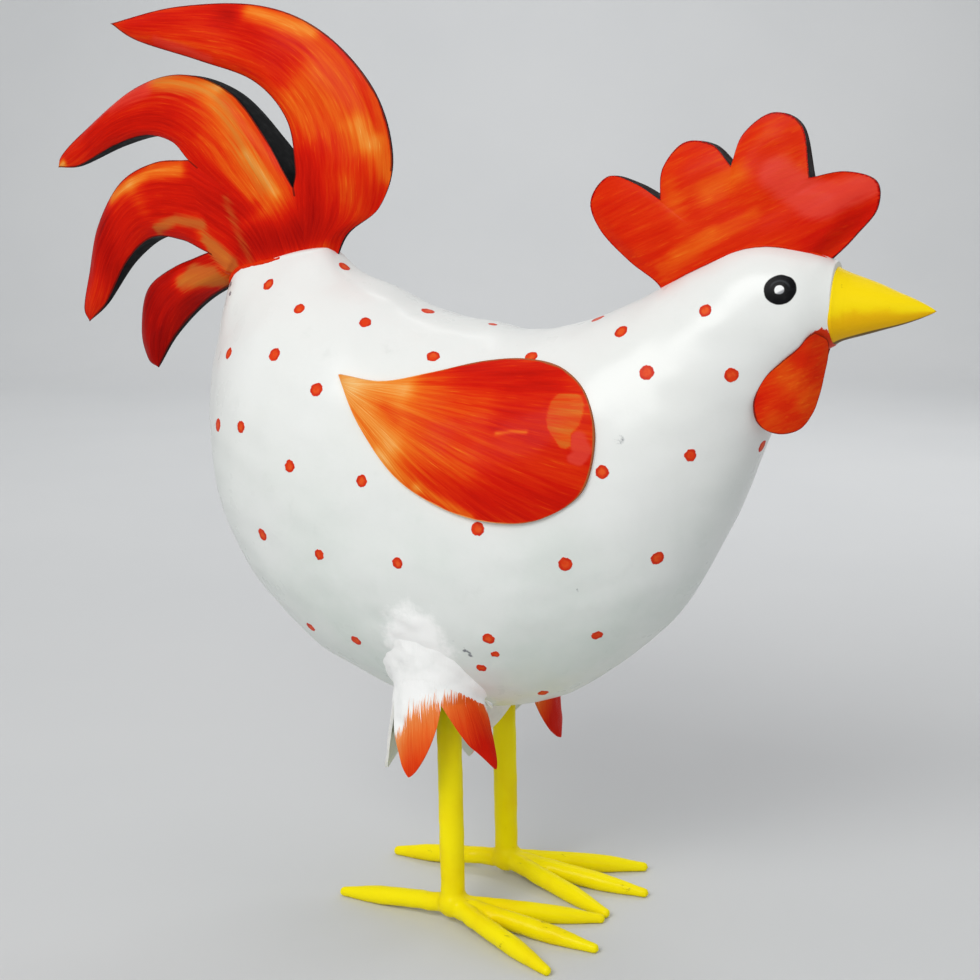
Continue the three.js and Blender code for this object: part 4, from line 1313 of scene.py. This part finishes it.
def make_feet(paint):
    """Both feet: the rods fused, then uneven, most of all around the weld under the leg."""
    grids = [leg_rod(), hub_blob()] + [toe_rod(turn, length) for turn, length in TOES]
    for side, word, seed in ((RIGHT, "right", 95), (LEFT, "left", 97)):
        placed = [{**one, "points": one["points"] + [MIDDLE_X, LEG_Y, 0]} for one in grids]
        placed = placed if side == RIGHT else mirrored(placed)
        mesh = fused("foot_" + word, placed)
        points, normals = read_out(mesh, "co"), read_out(mesh, "normal")
        middle = np.hypot(points[:, 0] - MIDDLE_X, np.abs(points[:, 1]) + LEG_Y)
        near_hub = np.exp(-(middle / (16 * MM)) ** 2 - (points[:, 2] / (12 * MM)) ** 2) + 0.22
        lumps = unevenness(points, 9 * MM, seed) * 0.3 * MM
        lumps = lumps + unevenness(points, 3.6 * MM, seed + 1) * 0.08 * MM
        points += normals * (lumps * near_hub)[:, None]
        points[:, 2] = np.maximum(points[:, 2], 0)
        mesh.vertices.foreach_set("co", points.astype(np.float32).ravel())
        mesh.update()
        toes = [f"toe_{word}_{which}" for which in ("middle", "inner", "outer", "back")]
        finish_piece("foot_" + word, mesh, [paint], [f"leg_{word}", *toes], 60)


# The studio

FLOOR_GAP = 0.2 * MM
CAMERA_DISTANCE = 737 * MM
CAMERA_TURN = math.radians(25.2)
CAMERA_RISE = math.radians(10.7)
CAMERA_TARGET = (4.5 * MM + MIDDLE_X, 0, 191.4 * MM)
FOCAL_PIXELS = 1673
FRAME_PIXELS = 980
SENSOR = 36


def make_camera():
    """The photograph's view: turned from the hen's side towards its face, and a little from above."""
    level = math.cos(CAMERA_RISE)
    back = Vector((math.sin(CAMERA_TURN) * level, -math.cos(CAMERA_TURN) * level, math.sin(CAMERA_RISE)))
    data = bpy.data.cameras.new("camera")
    data.sensor_width = SENSOR
    data.lens = SENSOR * FOCAL_PIXELS / FRAME_PIXELS
    camera = bpy.data.objects.new("camera", data)
    camera.location = Vector(CAMERA_TARGET) + back * CAMERA_DISTANCE
    camera.rotation_euler = (-back).to_track_quat("-Z", "Y").to_euler()
    bpy.context.scene.collection.objects.link(camera)
    bpy.context.scene.camera = camera


def soft_light(name, place, target, size, power, colour=(1, 1, 1)):
    """A square area light that faces a point."""
    data = bpy.data.lights.new(name, "AREA")
    data.shape = "SQUARE"
    data.size = size
    data.energy = power
    data.color = colour
    light = bpy.data.objects.new(name, data)
    light.location = place
    light.rotation_euler = (Vector(target) - Vector(place)).to_track_quat("-Z", "Y").to_euler()
    bpy.context.scene.collection.objects.link(light)


def make_floor():
    """A pale floor that sweeps up behind the hen: a profile of floor, quarter circle and wall, carried
    across the view."""
    bend, depth, width, height, front = 0.9, 1.9, 24.0, 3.2, -9.0
    angle = np.linspace(0, math.pi / 2, 40)
    curve = np.stack([depth + bend * np.sin(angle), bend - bend * np.cos(angle)], -1)
    profile = np.concatenate([[(front, 0)], curve, [(depth + bend, height)]])
    across = np.linspace(-width / 2, width / 2, 9)
    points = np.stack([np.broadcast_to(across, (len(profile), 9)), np.repeat(profile[:, :1], 9, 1),
                       np.repeat(profile[:, 1:], 9, 1)], -1)
    c, s = math.cos(CAMERA_TURN), math.sin(CAMERA_TURN)
    points = points @ np.array([[c, s, 0], [-s, c, 0], [0, 0, 1]])
    mesh = bpy.data.meshes.new("floor")
    mesh.from_pydata(points.reshape(-1, 3) - [0, 0, FLOOR_GAP], [], cells(*points.shape[:2]))
    mesh.shade_smooth()
    floor = bpy.data.objects.new("floor", mesh)
    bpy.context.scene.collection.objects.link(floor)
    paint = Paint("floor_paint")
    colour = paint.mix((0.60, 0.61, 0.62), (0.66, 0.665, 0.67), paint.noise(3, 3))
    mesh.materials.append(paint.finish(colour, 0.6, paint.noise(60, 3) * 0.1, coat=0, depth=0.2))


def make_world():
    world = bpy.data.worlds.new("studio")
    world.use_nodes = True
    world.node_tree.nodes["Background"].inputs["Color"].default_value = (0.93, 0.95, 0.96, 1)
    world.node_tree.nodes["Background"].inputs["Strength"].default_value = 0.47
    bpy.context.scene.world = world


def make_studio():
    bpy.context.scene.view_settings.view_transform = "Standard"
    make_camera()
    make_floor()
    make_world()
    middle = (MIDDLE_X, 0, 0.2)
    soft_light("key", (-0.15, -1.25, 1.15), middle, 0.8, 14.6, (1, 0.99, 0.97))
    soft_light("fill", (1.2, -1.0, 0.6), middle, 1.0, 1.5, (0.97, 0.99, 1))
    soft_light("top", (0.1, 0.25, 1.5), middle, 0.9, 1.5)
    soft_light("back", (0.5, 1.3, 0.9), middle, 0.9, 3)
    soft_light("wall", (-0.4, 0.9, 1.9), (-1.0, 2.6, 0.6), 0.8, 22)


make_studio()
make_body()
make_tail()
comb = make_comb()
make_wings()
make_beak()
make_wattles(comb.data.materials[0])
make_cuffs()
make_feet(yellow_enamel("leg_enamel", (0.97, 0.82, 0.003), (0.90, 0.69, 0.002), 0.6))
